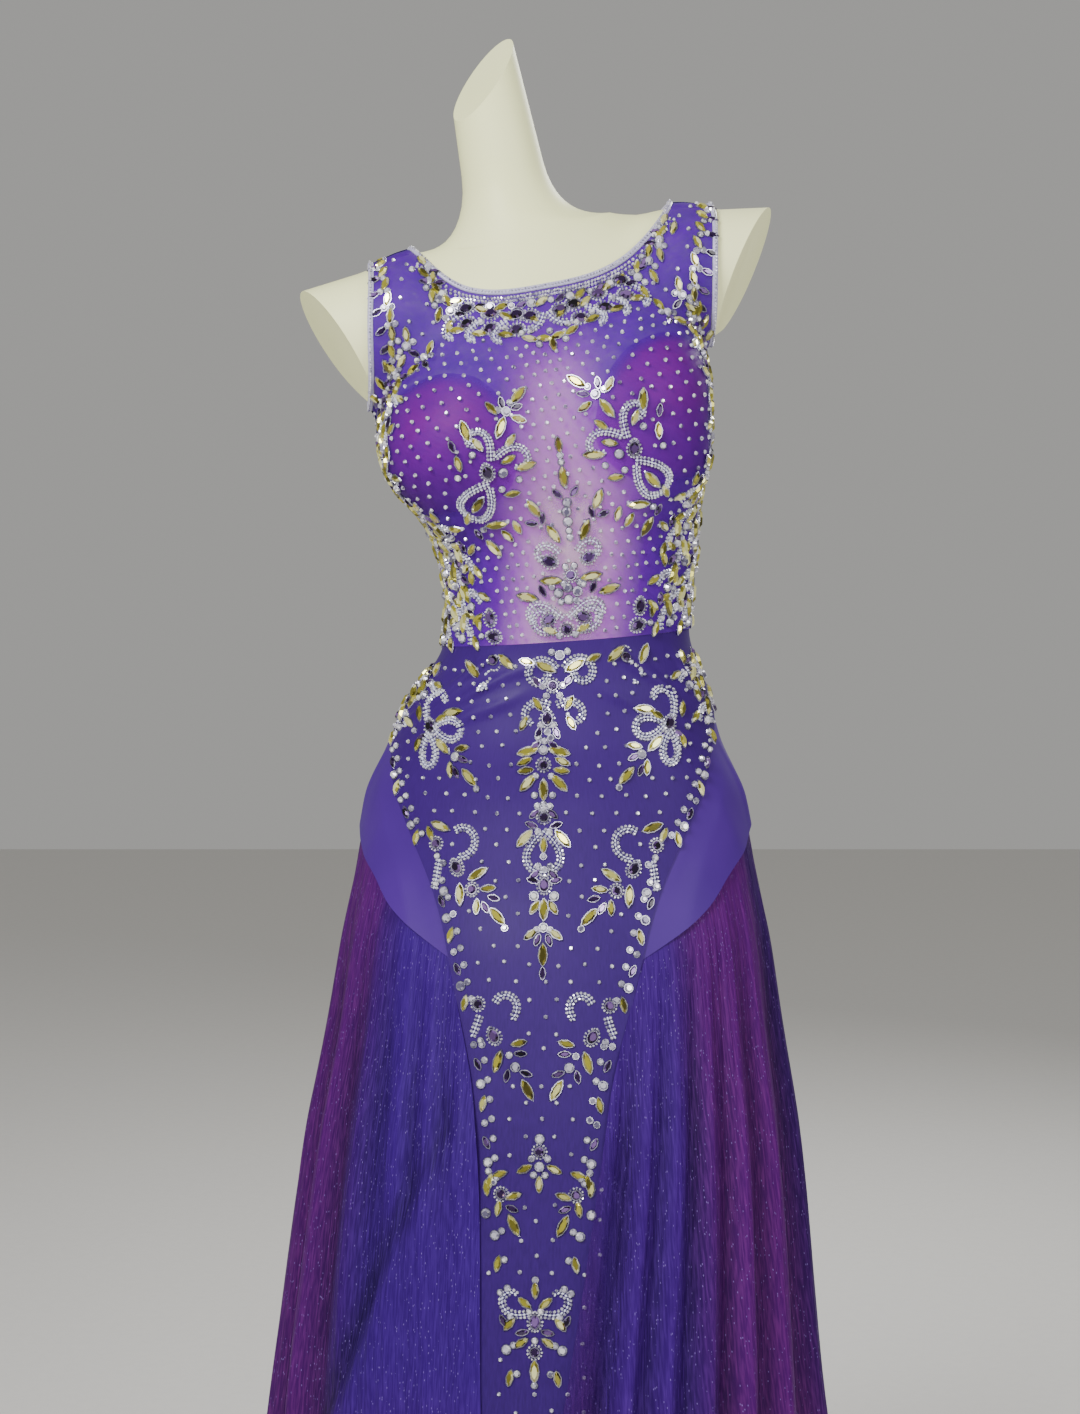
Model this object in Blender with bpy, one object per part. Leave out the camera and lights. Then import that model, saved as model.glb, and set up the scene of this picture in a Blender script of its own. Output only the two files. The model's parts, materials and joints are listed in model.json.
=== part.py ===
"""Prom gown with sheer beaded bodice, pointed hip yoke and tulle skirt, worn by a limbless display form.

Metres, +Z up, front towards -Y. The origin is the middle of the form's base plate, on the floor.
The figure is drawn upright and even on both sides first; its stance (sway, shoulder tilt, twist) is
added last. A place on it is given by "turn", degrees round from centre front (left of the picture is
negative), and "rise", its height up the body, which goes on over the shoulders as the ray tips up.
"""

import math

import bmesh
import bpy
import numpy as np
from mathutils import Matrix, Vector, geometry

# Driving sizes
WAIST = 1.052
CHEST = 1.29
SHOULDER_RAY = 0.13
HEM = 0.012
SEAM = 0.0003
CLOTH = 0.0012
NET = 0.0010

# Heights of the layers' inner faces off the form's skin
LINING_OFF = 0.0009
NET_OFF = 0.0036
PANEL_OFF = 0.0009
NET_OVER_CUPS = 0.0024
CUP_MIDDLE = (38.0, 1.228)
CUP_SPREAD = (24.0, 0.050)
CUP_PAD = 0.0005

# Display stand
BASE_RADIUS = 0.150
BASE_THICK = 0.012
BASE_BEVEL = 0.003
POLE_RADIUS = 0.0125
COLLAR_FOOT = 0.016
COLLAR_TOP = 0.012
COLLAR_HEIGHT = 0.020
COLLAR_BEVEL = 0.004
FORM_FOOT = 0.800

# Half widths, half depths and middle of the bare figure at each height
FIGURE = (
    # height, half_width, half_depth, middle
    (0.760, 0.150, 0.098, 0.015),
    (0.860, 0.168, 0.108, 0.016),
    (0.905, 0.173, 0.108, 0.015),
    (0.958, 0.151, 0.101, 0.012),
    (0.995, 0.138, 0.093, 0.009),
    (1.052, 0.1105, 0.085, 0.005),
    (1.087, 0.1085, 0.084, 0.003),
    (1.142, 0.1150, 0.087, 0.003),
    (1.179, 0.1240, 0.090, 0.005),
    (1.216, 0.1380, 0.093, 0.007),
    (1.271, 0.1490, 0.096, 0.009),
    (1.300, 0.1480, 0.095, 0.011),
    (1.340, 0.1340, 0.086, 0.013),
    (1.380, 0.1040, 0.070, 0.015),
    (1.420, 0.0640, 0.050, 0.018),
    (1.460, 0.0350, 0.034, 0.020),
    (1.500, 0.0080, 0.008, 0.020),
)

# Where the trunk ends, and the neck's axis, which leans to the left
TRUNK_TOP = 1.415
NECK_FOOT = (-0.0105, 0.022, 1.360)
NECK_HEAD = (-0.0674, -0.012, 1.640)

# Right breast, shoulder girdle and arm; the left ones are their mirror
BREAST_MIDDLE = (0.070, -0.056, 1.240)
BREAST_HALF = (0.070, 0.056, 0.076)
GIRDLE_FROM = (0.0, 0.016, 1.372)
GIRDLE_TO = (0.108, 0.012, 1.368)
ARM_FROM = (0.13, 0.010, 1.362)
ARM_TO = (0.30, 0.012, 1.346)
ARM_CENTRE = (0.0, 0.012, 1.362)

# Radii at both ends of the round parts, and how widely each blends with the rest
GIRDLE_RADII = (0.048, 0.047)
ARM_RADII = (0.056, 0.050)
NECK_RADII = (0.045, 0.028)
BREAST_BLEND = 0.036
GIRDLE_BLEND = 0.045
ARM_BLEND = 0.030
NECK_BLEND = 0.050

# How the figure stands
STANCE = (
    # height, sway, tilt_degrees, twist_degrees
    (0.000, -0.005, 0.0, -4.0),
    (0.340, -0.004, 0.0, -4.0),
    (0.770, 0.002, 0.0, -4.3),
    (0.950, 0.001, 0.5, -5.5),
    (0.995, 0.004, 2.0, -4.0),
    (1.052, 0.0125, 4.0, -2.5),
    (1.110, 0.0165, 6.0, -1.4),
    (1.175, 0.0110, 8.5, 1.4),
    (1.230, -0.007, 10.0, 5.0),
    (1.300, -0.010, 11.0, 5.0),
    (1.360, -0.012, 10.7, 5.0),
    (1.420, -0.010, 10.5, 5.0),
    (1.700, -0.010, 10.5, 5.0),
)

# How far the form lies inside the bare figure
FORM_EASE = (
    # height, ease
    (0.800, 0.0030),
    (1.290, 0.0026),
    (1.340, 0.0014),
    (1.380, 0.0006),
    (1.640, 0.0004),
)

# Smooth shape of the gown below the waist, under its layers and folds
SKIRT = (
    # height, half_width, half_depth, middle
    (0.000, 0.274, 0.262, 0.032),
    (0.340, 0.241, 0.222, 0.026),
    (0.600, 0.216, 0.182, 0.021),
    (0.700, 0.202, 0.160, 0.019),
    (0.774, 0.193, 0.141, 0.017),
    (0.838, 0.182, 0.122, 0.016),
    (0.905, 0.173, 0.108, 0.015),
    (0.958, 0.151, 0.101, 0.012),
    (0.995, 0.138, 0.093, 0.009),
    (1.052, 0.1105, 0.085, 0.005),
    (1.087, 0.1085, 0.084, 0.003),
)

# Seen edge of the front panel, and how much more of it the tulle hides
PANEL_EDGE = (
    # height, left_turn, right_turn, left_hidden, right_hidden
    (0.000, 8.0, -5.0, 7.0, 20.0),
    (0.338, 10.2, 4.0, 6.0, 12.0),
    (0.415, 11.2, 7.0, 5.5, 9.5),
    (0.507, 12.3, 10.4, 5.0, 7.0),
    (0.600, 14.0, 14.0, 4.0, 4.0),
    (0.664, 16.8, 16.8, 2.5, 2.5),
    (0.720, 21.2, 21.2, 0.8, 0.8),
    (0.745, 23.6, 23.6, 0.0, 0.0),
    (0.773, 26.2, 26.2, 0.0, 0.0),
    (0.800, 29.0, 29.0, 0.0, 0.0),
    (0.833, 34.0, 34.0, 0.0, 0.0),
    (0.871, 42.0, 42.0, 0.0, 0.0),
    (0.900, 49.5, 49.5, 0.0, 0.0),
    (0.928, 59.0, 59.0, 0.0, 0.0),
    (0.949, 68.5, 68.5, 0.0, 0.0),
    (0.985, 90.0, 90.0, 0.0, 0.0),
)
POINT_HEIGHT = 0.772
WING_TOP = 0.985
TULLE_DROP = 0.0006

# Lower edge of the satin hip yoke
YOKE_HEM = (
    # turn, height
    (26.0, 0.772),
    (48.0, 0.811),
    (60.0, 0.838),
    (74.0, 0.861),
    (90.0, 0.883),
    (115.0, 0.893),
    (180.0, 0.897),
)

# Crests of the tulle's folds, outward from the parting
FOLDS = (
    # left_at_yoke, left_at_hem, right_at_yoke, right_at_hem, deep
    (22.0, 3.0, 20.0, -3.0, 0.6),
    (31.0, 13.5, 29.0, 8.0, 0.8),
    (39.0, 25.0, 37.0, 18.5, 0.8),
    (50.0, 45.0, 46.0, 30.0, 0.9),
    (64.0, 63.0, 56.0, 42.0, 1.0),
    (80.0, 80.0, 68.0, 56.0, 1.0),
    (98.0, 98.0, 84.0, 74.0, 1.1),
    (117.0, 117.0, 105.0, 98.0, 0.9),
    (138.0, 138.0, 130.0, 126.0, 1.1),
    (159.0, 159.0, 155.0, 153.0, 1.0),
    (180.0, 180.0, 180.0, 180.0, 1.0),
    (201.0, 201.0, 205.0, 205.0, 1.0),
)
FOLD_DEPTH = (
    # fall below the yoke, depth
    (0.000, 0.0000),
    (0.030, 0.0010),
    (0.120, 0.0050),
    (0.260, 0.0110),
    (0.500, 0.0180),
    (0.880, 0.0300),
)
SKIRT_FALL = 0.80
LIFT = (
    # fall below the yoke, height off the shape
    (0.000, 0.0009),
    (0.026, 0.0030),
    (0.060, 0.0036),
    (0.880, 0.0050),
)

# Metres of cloth for each degree of turn, about, for even triangles
BODICE_GIRTH = 0.0020
SKIRT_GIRTH = 0.0030

# Seams that run up and down
SIDE_SEAM = 90.0
YOKE_SPLIT = 179.9
GORE_SEAMS = (
    # from_turn, to_turn, tulle
    (0.0, 58.0, "blue_tulle"),
    (58.0, 122.0, "magenta_tulle"),
    (122.0, 180.0, "blue_tulle"),
)
GORE_COLUMNS = 22
GORE_ROWS = (0, 0.035, 0.09, 0.18, 0.31, 0.47, 0.65, 0.83, 1.0)
ZIP_WIDE = 0.0070
ZIP_FOOT = 0.900
ZIP_EDGE = 0.0014
ZIP_CREST = 0.0026
ZIP_ENDS = (0.0020, -0.0005)

# Neckline seen from the front, and the back neck
NECK_CORNER = 0.1205
NECK_TOP = 1.4195
NECK_LOW_FRONT = 1.3610
NECK_LOW_BACK = 1.3850
NECK_SHAPE = 3.0
ARMHOLE_REACH = 0.1540
BINDING_WIDE = 0.0052
BINDING_THICK = 0.0030

# Cups and side linings seen through the net, edges by turn from centre front
CUP_TURNS = (17.0, 87.0)
LINING_TURNS = (23.0, 87.0)
LINING_TOP = 1.184
LINING_GAP = 0.004
CUP_TOP = (
    # turn, height
    (17.0, 1.2300),
    (20.0, 1.2600),
    (26.0, 1.2820),
    (34.0, 1.2960),
    (46.0, 1.3020),
    (60.0, 1.2960),
    (75.0, 1.2800),
    (90.0, 1.2640),
)
CUP_FOOT = (
    # turn, height
    (17.0, 1.1900),
    (30.0, 1.1820),
    (50.0, 1.1800),
    (70.0, 1.1870),
    (90.0, 1.1960),
)
LINING_EDGE = (
    # height, turn
    (1.052, 36.0),
    (1.124, 34.0),
    (1.160, 28.0),
    (1.190, 21.0),
)


def smooth(table, column, at):
    """Value of a table's column at one or many places in its first column, through smooth cubic spans."""
    xs = np.array([row[0] for row in table], float)
    ys = np.array([row[column] for row in table], float)
    at = np.clip(np.asarray(at, float), xs[0], xs[-1])
    steps = np.diff(ys) / np.diff(xs)
    slopes = np.empty(len(xs))
    slopes[0], slopes[-1] = steps[0], steps[-1]
    same_way = steps[:-1] * steps[1:] > 0
    mean = 2 * steps[:-1] * steps[1:] / np.where(same_way, steps[:-1] + steps[1:], 1)
    slopes[1:-1] = np.where(same_way, mean, 0)
    i = np.clip(np.searchsorted(xs, at, side="right") - 1, 0, len(xs) - 2)
    span = xs[i + 1] - xs[i]
    u = (at - xs[i]) / span
    return (
        ys[i] * (1 + 2 * u) * (1 - u) ** 2
        + slopes[i] * span * u * (1 - u) ** 2
        + ys[i + 1] * u * u * (3 - 2 * u)
        + slopes[i + 1] * span * u * u * (u - 1)
    )


def melt(a, b, width):
    """The lesser of two distances, with a soft join of that width."""
    share = np.clip(0.5 + 0.5 * (b - a) / width, 0, 1)
    return b * (1 - share) + a * share - width * share * (1 - share)


def rod(points, start, end, start_radius, end_radius):
    """Distance to a round bar with domed ends."""
    start, end = np.array(start), np.array(end)
    along = end - start
    share = np.clip(((points - start) @ along) / (along @ along), 0, 1)
    nearest = start + share[:, None] * along
    radius = start_radius + share * (end_radius - start_radius)
    return np.linalg.norm(points - nearest, axis=1) - radius


def figure(points):
    """How far points are outside the bare figure, about; less than nothing inside it."""
    x, y, h = points.T
    width, depth = smooth(FIGURE, 1, h), smooth(FIGURE, 2, h)
    middle = smooth(FIGURE, 3, h)
    trunk = (np.hypot(x / width, (y - middle) / depth) - 1) * np.minimum(width, depth)
    trunk = np.maximum(trunk, (h - TRUNK_TOP) * 0.8)
    even = np.stack([np.abs(x), y, h], axis=1)
    breast = (even - np.array(BREAST_MIDDLE)) / np.array(BREAST_HALF)
    breast = (np.linalg.norm(breast, axis=1) - 1) * min(BREAST_HALF)
    girdle = rod(even, GIRDLE_FROM, GIRDLE_TO, *GIRDLE_RADII)
    arm = rod(even, ARM_FROM, ARM_TO, *ARM_RADII)
    neck = rod(points, NECK_FOOT, NECK_HEAD, *NECK_RADII)
    body = melt(melt(trunk, breast, BREAST_BLEND), girdle, GIRDLE_BLEND)
    return melt(melt(body, arm, ARM_BLEND), neck, NECK_BLEND)


def cast(origins, directions, widest=0.40):
    """Where rays from inside the figure leave it, or pass the widest place wanted."""
    across = np.maximum(np.abs(directions[:, 0]), 1e-6)
    near = np.zeros(len(origins))
    far = np.minimum(0.42, widest / across)
    for _ in range(34):
        middle = (near + far) / 2
        outside = figure(origins + directions * middle[:, None]) > 0
        near, far = np.where(outside, near, middle), np.where(outside, middle, far)
    return origins + directions * near[:, None]


def skin(turn, rise):
    """Points on the bare upright figure, the shoulders' ends left out."""
    turn, rise = np.broadcast_arrays(np.radians(np.asarray(turn, float)), np.asarray(rise, float))
    level = np.minimum(rise, CHEST)
    tip = np.maximum(rise - CHEST, 0) / SHOULDER_RAY
    origins = np.stack([0 * level, smooth(FIGURE, 3, level), level], axis=1)
    directions = np.stack(
        [np.sin(turn) * np.cos(tip), -np.cos(turn) * np.cos(tip), np.sin(tip)], axis=1
    )
    return cast(origins, directions, widest=0.170)


def outward(points):
    """Unit directions straight out of the figure's surface."""
    reach = 0.0008
    slopes = [figure(points + step) - figure(points - step) for step in np.eye(3) * reach]
    slopes = np.stack(slopes, axis=1)
    return slopes / np.linalg.norm(slopes, axis=1)[:, None]


def stand(points):
    """Upright points as the figure stands: twisted, tilted and swayed."""
    x, y, h = points.T
    twist = np.radians(smooth(STANCE, 3, h))
    tilt = np.radians(smooth(STANCE, 2, h))
    across = x * np.cos(twist) - y * np.sin(twist)
    back = x * np.sin(twist) + y * np.cos(twist)
    return np.stack(
        [
            smooth(STANCE, 1, h) + across * np.cos(tilt),
            back,
            h + across * np.sin(tilt),
        ],
        axis=1,
    )


def on_bodice(turn, rise, off):
    """Points that far off the figure's skin, in its stance."""
    points = skin(turn, rise)
    return stand(points + outward(points) * np.reshape(off, (-1, 1)))


def on_skirt(turn, height, off):
    """Points that far outside the gown's smooth shape below the waist, in its stance."""
    turn, height, off = np.broadcast_arrays(
        np.radians(np.atleast_1d(turn)), np.atleast_1d(height), np.atleast_1d(off)
    )
    width, depth = smooth(SKIRT, 1, height), smooth(SKIRT, 2, height)
    normal_x, normal_y = np.sin(turn) / width, -np.cos(turn) / depth
    length = np.hypot(normal_x, normal_y)
    x = width * np.sin(turn) + off * normal_x / length
    y = smooth(SKIRT, 3, height) - depth * np.cos(turn) + off * normal_y / length
    return stand(np.stack([x, y, height], axis=1))


def on_net(turn, rise, off):
    """Points off the skin, with the net's ease over the cups added."""
    across = (np.abs(turn) - CUP_MIDDLE[0]) / CUP_SPREAD[0]
    up = (rise - CUP_MIDDLE[1]) / CUP_SPREAD[1]
    return on_bodice(turn, rise, off + NET_OVER_CUPS * np.exp(-(across**2 + up**2)))


# Finishes, with sRGB hex colours
FINISHES = {
    # name: colour, roughness, metallic
    "form_shell": ("EDEBDD", 0.55, 0.0),
    "stand_metal": ("C9C9C6", 0.35, 1.0),
    "lilac_net": ("7A5CC4", 0.65, 0.0),
    "plum_lining": ("5A1E96", 0.60, 0.0),
    "beaded_satin": ("4B3A9E", 0.45, 0.0),
    "violet_satin": ("5B49BC", 0.40, 0.0),
    "blue_tulle": ("3A1FA0", 0.60, 0.0),
    "magenta_tulle": ("5A1670", 0.60, 0.0),
    "silver_binding": ("B9B6D0", 0.35, 0.2),
    "zip_tape": ("3B2A86", 0.55, 0.0),
}


def finish_of(name):
    """The material of that name, made once."""
    if name in bpy.data.materials:
        return bpy.data.materials[name]
    code, roughness, metallic = FINISHES[name]
    parts = [int(code[i : i + 2], 16) / 255 for i in (0, 2, 4)]
    linear = [c / 12.92 if c <= 0.04045 else ((c + 0.055) / 1.055) ** 2.4 for c in parts]
    material = bpy.data.materials.new(name)
    material.use_nodes = True
    shader = material.node_tree.nodes["Principled BSDF"]
    shader.inputs["Base Color"].default_value = (*linear, 1)
    shader.inputs["Roughness"].default_value = roughness
    shader.inputs["Metallic"].default_value = metallic
    material.diffuse_color = (*linear, 1)
    return material


def add_mesh(name, points, faces, finish, sharp=35):
    """A new object from points and faces."""
    mesh = bpy.data.meshes.new(name)
    mesh.from_pydata([tuple(p) for p in points], [], [tuple(f) for f in faces])
    mesh.validate()
    mesh.shade_smooth()
    mesh.set_sharp_from_angle(angle=math.radians(sharp))
    mesh.materials.append(finish_of(finish))
    part = bpy.data.objects.new(name, mesh)
    bpy.context.scene.collection.objects.link(part)
    return part


def add_between(name, outer, inner, edge_count, faces_out, faces_in, finish):
    """A closed wall from an outer and an inner sheet whose first points are the same outline."""
    start = len(outer)
    faces = [tuple(f) for f in faces_out]
    faces += [tuple(start + i for i in reversed(f)) for f in faces_in]
    for i in range(edge_count):
        after = (i + 1) % edge_count
        faces.append((after, i, start + i, start + after))
    return add_mesh(name, np.vstack([outer, inner]), faces, finish)


# Flat working of cloth: outlines, and what is raised on them

def metric(place, turn, rise):
    """Two by two matrix from a small step in turn and rise to metres on the cloth."""
    reach = np.array([0.05, 0.0002])
    at = np.array([[turn, rise]] * 4) + np.array([[1, 0], [-1, 0], [0, 1], [0, -1]]) * reach
    points = place(at[:, 0], at[:, 1], np.zeros(4))
    across = (points[0] - points[1]) / (2 * reach[0])
    up = (points[2] - points[3]) / (2 * reach[1])
    grid = np.array([[across @ across, across @ up], [across @ up, up @ up]])
    return np.linalg.cholesky(grid + np.eye(2) * 1e-14).T


def inset(outline, place, amount):
    """An anticlockwise outline in turn and rise, drawn in by so many metres of cloth."""
    drawn = []
    count = len(outline)
    for i in range(count):
        shape = metric(place, *outline[i])
        before = shape @ (outline[i] - outline[i - 1])
        after = shape @ (outline[(i + 1) % count] - outline[i])
        before, after = before / np.linalg.norm(before), after / np.linalg.norm(after)
        inward = np.array([-before[1] - after[1], before[0] + after[0]])
        square = np.array([-before[1], before[0]])
        step = inward / max(inward @ square, 0.35) * amount
        drawn.append(outline[i] + np.linalg.solve(shape, step))
    return np.array(drawn)


def inside(points, outline):
    """Which points lie inside a closed outline."""
    x, y = points[:, 0][:, None], points[:, 1][:, None]
    x0, y0 = outline.T
    x1, y1 = np.roll(outline, -1, axis=0).T
    straddles = (y0 > y) != (y1 > y)
    with np.errstate(divide="ignore", invalid="ignore"):
        crossing = x0 + (y - y0) * (x1 - x0) / (y1 - y0)
    return (straddles & (x < crossing)).sum(axis=1) % 2 == 1


def clearance(points, outline):
    """How far points lie from a closed outline."""
    start = outline[None]
    along = np.roll(outline, -1, axis=0)[None] - start
    to_point = points[:, None] - start
    share = (to_point * along).sum(2) / np.maximum((along * along).sum(2), 1e-12)
    nearest = np.clip(share, 0, 1)[:, :, None] * along
    return np.linalg.norm(to_point - nearest, axis=2).min(axis=1)


def flat(points, girth):
    """Turn and rise as metres, for even triangles."""
    return points * np.array([girth, 1.0])


def triangles(outline, marks, loose, girth):
    """Triangles over an outline, with raised marks' rims as edges; gives points and faces."""
    points = [*outline]
    edges = [(i, (i + 1) % len(outline)) for i in range(len(outline))]
    heights = [0.0] * len(outline)
    for rim, tops in marks:
        start = len(points)
        points += [p for p in rim]
        heights += [0.0] * len(rim)
        edges += [(start + i, start + (i + 1) % len(rim)) for i in range(len(rim))]
        points += [p for p, _ in tops]
        heights += [height for _, height in tops]
    points += [p for p in loose]
    heights += [0.0] * len(loose)
    plane = [Vector(p) for p in flat(np.array(points), girth)]
    found = geometry.delaunay_2d_cdt(plane, edges, [], 1, 1e-7)
    source = [ids[0] for ids in found[3]]
    faces = [tuple(source[i] for i in face) for face in found[2]]
    if min(source) < 0 or len(set(source)) != len(points):
        raise ValueError("marks cross each other or the outline")
    return np.array(points), np.array(heights), faces


# Sizes of what is raised, in millimetres
STONES = {
    # kind: length, width, height
    "long": (19.0, 7.0, 2.8),
    "leaf": (12.5, 5.2, 2.2),
    "drop": (12.0, 9.5, 3.0),
    "round": (8.0, 8.0, 2.4),
}


POINTED_RIM = ((0.5, 0), (0.2, 0.44), (-0.2, 0.44), (-0.5, 0), (-0.2, -0.44), (0.2, -0.44))
ROUND_RIM = tuple((0.5 * math.cos(a), 0.5 * math.sin(a)) for a in np.radians(range(0, 360, 60)))
STONE_SHAPES = {
    # kind: rim and tops, as shares of the length and width
    "long": (POINTED_RIM, ((0.18, 0), (-0.18, 0))),
    "leaf": (((0.5, 0), (0, 0.5), (-0.5, 0), (0, -0.5)), ((0, 0),)),
    "drop": (ROUND_RIM, ((0, 0),)),
    "round": (((0.5, 0), (0, 0.5), (-0.5, 0), (0, -0.5)), ((0, 0),)),
}


def stone(kind, turn, rise, heading, place):
    """Rim and tops of one raised stone, pointed or round, at a place on the cloth."""
    length, width, height = (size / 1000 for size in STONES[kind])
    rim, tops = STONE_SHAPES[kind]
    turned = math.radians(heading)
    spin = np.array(
        [[math.cos(turned), -math.sin(turned)], [math.sin(turned), math.cos(turned)]]
    )
    shape = np.linalg.inv(metric(place, turn, rise))
    size = np.array([length, width])
    middle = np.array([turn, rise])
    rim = [middle + shape @ spin @ (np.array(p) * size) for p in rim]
    tops = [(middle + shape @ spin @ (np.array(p) * size), height) for p in tops]
    return np.array(rim), tops


# Ornaments, each a handful of stones in millimetres about its middle, heading up
ORNAMENTS = {
    # kind, across, up, heading
    "spear": (
        ("long", 0, 22, 90),
        ("leaf", -10, 12, 125),
        ("leaf", 10, 12, 55),
        ("drop", 0, 2, 90),
        ("leaf", -12, -6, 160),
        ("leaf", 12, -6, 20),
        ("leaf", 0, -14, 90),
    ),
    "flower": (
        ("drop", 0, 0, 90),
        ("leaf", 0, 14, 90),
        ("leaf", -13, 4, 162),
        ("leaf", 13, 4, 18),
        ("leaf", -8, -11, 234),
        ("leaf", 8, -11, 306),
    ),
    "spray": (
        ("long", 0, 0, 90),
        ("leaf", -8, 12, 125),
        ("leaf", 8, 14, 60),
        ("round", 0, 20, 0),
        ("leaf", 1, 32, 85),
    ),
    "pair": (
        ("leaf", -6, 4, 120),
        ("leaf", 6, 4, 60),
        ("round", 0, -6, 0),
    ),
    "pendant": (
        ("drop", 0, 0, 90),
        ("leaf", -10, 3, 150),
        ("leaf", 10, 3, 30),
    ),
    "bud": (
        ("round", 0, 0, 0),
        ("leaf", 0, 12, 90),
    ),
}

# Where ornaments lie on the bodice; those off centre are on both sides
BODICE_ORNAMENTS = (
    # ornament, turn, rise, heading
    ("pendant", 0.0, 1.341, 0.0),
    ("pair", 0.0, 1.318, 0.0),
    ("pendant", 17.0, 1.345, 8.0),
    ("pair", 30.0, 1.340, 12.0),
    ("pendant", 44.0, 1.345, 20.0),
    ("bud", 57.0, 1.348, 30.0),
    ("bud", 66.0, 1.368, 10.0),
    ("flower", 33.0, 1.236, 10.0),
    ("bud", 50.0, 1.262, 0.0),
    ("bud", 24.0, 1.275, 40.0),
    ("spear", 0.0, 1.232, 0.0),
    ("spear", 0.0, 1.170, 0.0),
    ("spear", 0.0, 1.106, 0.0),
    ("spray", 58.0, 1.080, -12.0),
    ("flower", 66.0, 1.150, 0.0),
    ("spray", 80.0, 1.190, 0.0),
    ("bud", 40.0, 1.105, -30.0),
    ("bud", 46.0, 1.150, -20.0),
    ("pair", 72.0, 1.255, 0.0),
    ("bud", 82.0, 1.085, 0.0),
    ("bud", 20.0, 1.090, 30.0),
)

# Where ornaments lie on the front panel
PANEL_ORNAMENTS = (
    # ornament, turn, height, heading
    ("spear", 0.0, 0.998, 0.0),
    ("spear", 0.0, 0.925, 180.0),
    ("spear", 0.0, 0.850, 180.0),
    ("pair", 0.0, 0.795, 0.0),
    ("spray", 62.0, 1.010, 50.0),
    ("flower", 44.0, 0.962, -20.0),
    ("spray", 27.0, 0.925, 150.0),
    ("pair", 22.0, 0.985, -30.0),
    ("spray", 27.0, 0.845, 140.0),
    ("bud", 14.0, 0.810, 130.0),
    ("flower", 0.0, 0.735, 0.0),
    ("spray", 15.0, 0.705, 175.0),
    ("bud", 8.0, 0.640, 160.0),
    ("pendant", 0.0, 0.585, 0.0),
    ("bud", 0.0, 0.550, 180.0),
    ("spear", 0.0, 0.440, 0.0),
    ("pair", 0.0, 0.385, 180.0),
    ("flower", 0.0, 0.250, 0.0),
    ("bud", 0.0, 0.150, 0.0),
)


def raised(rows, place):
    """Marks for a table of ornaments, mirrored where they lie off centre."""
    marks = []
    for ornament, turn, rise, heading in rows:
        for side in (1, -1) if turn else (1,):
            lean = math.radians(heading * side)
            shape = np.linalg.inv(metric(place, turn * side, rise))
            for kind, across, up, pointing in ORNAMENTS[ornament]:
                across, up = side * across / 1000, up / 1000
                pointing = pointing if side > 0 else 180 - pointing
                moved = np.array(
                    [
                        across * math.cos(lean) + up * math.sin(lean),
                        up * math.cos(lean) - across * math.sin(lean),
                    ]
                )
                at = np.array([turn * side, rise]) + shape @ moved
                marks.append(stone(kind, *at, pointing - heading * side, place))
    return marks


def net_of(outline, steps, girth, marks, dense=None):
    """Even points inside an outline, clear of its edge and of marks, twice as many in a dense band."""
    low, high = outline.min(axis=0), outline.max(axis=0)
    counts = 2 * np.maximum(np.round((high - low) / steps).astype(int), 1)
    across = np.linspace(low[0], high[0], counts[0] + 1)
    up = np.linspace(low[1], high[1], counts[1] + 1)
    points, keep = [], []
    for row, rise in enumerate(up):
        for column, turn in enumerate(across):
            fine = dense and dense[0] < abs(turn) < dense[1] and dense[2] < rise < dense[3]
            points.append((turn, rise))
            keep.append(fine or (row % 2 == 0 and column % 2 == 0))
    points, keep = np.array(points), np.array(keep)
    keep &= inside(points, outline)
    near = 0.3 * min(steps[0] * girth, steps[1])
    keep &= clearance(flat(points, girth), flat(outline, girth)) > near
    for rim, _ in marks:
        wide = flat(rim, girth)
        keep &= ~inside(flat(points, girth), wide)
        keep &= clearance(flat(points, girth), wide) > 0.35 * near
    return points[keep]


def add_patch(name, outline, place, offs, finish, steps, marks=(), girth=BODICE_GIRTH, dense=None):
    """A wall of cloth inside an outline, plain inside and with its marks raised outside."""
    edge = inset(np.array(outline), place, SEAM / 2)
    steps = np.array(steps)
    marks = apart([m for m in marks if clear_of_edge(m[0], edge, girth)], girth)
    inner, _, faces_in = triangles(edge, (), net_of(edge, steps, girth, (), dense), girth)
    loose = net_of(edge, steps, girth, marks, dense)
    outer, heights, faces_out = triangles(edge, marks, loose, girth)
    skin_out = place(outer[:, 0], outer[:, 1], offs[1] + heights)
    skin_in = place(inner[:, 0], inner[:, 1], np.full(len(inner), offs[0]))
    return add_between(name, skin_out, skin_in, len(edge), faces_out, faces_in, finish)


def apart(marks, girth):
    """The marks in turn, less any that would touch one before it."""
    kept = []
    for rim, tops in marks:
        here = flat(rim, girth)
        free = True
        for other, _ in kept:
            there = flat(other, girth)
            if np.linalg.norm(here.mean(axis=0) - there.mean(axis=0)) > 0.025:
                continue
            touching = inside(here, there).any() or inside(there, here).any()
            close = min(clearance(here, there).min(), clearance(there, here).min())
            free = free and not touching and close > 0.0007
        if free:
            kept.append((rim, tops))
    return kept


def clear_of_edge(rim, edge, girth):
    """Whether a mark's rim lies well within the cloth."""
    apart = clearance(flat(rim, girth), flat(edge, girth)).min()
    return inside(rim, edge).all() and apart > 0.0012


# Shared seam lines, each a list of (turn, rise) points

def curve(table, column, start, end, count, first="turn"):
    """Points along a table's line; its first column is the turn or the height."""
    at = np.linspace(start, end, count)
    values = smooth(table, column, at)
    pair = (at, values) if first == "turn" else (values, at)
    return np.stack(pair, axis=1)


def straight(start, end, count):
    """Even points from one place to another, both ends included."""
    return np.linspace(np.array(start, float), np.array(end, float), count)


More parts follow.
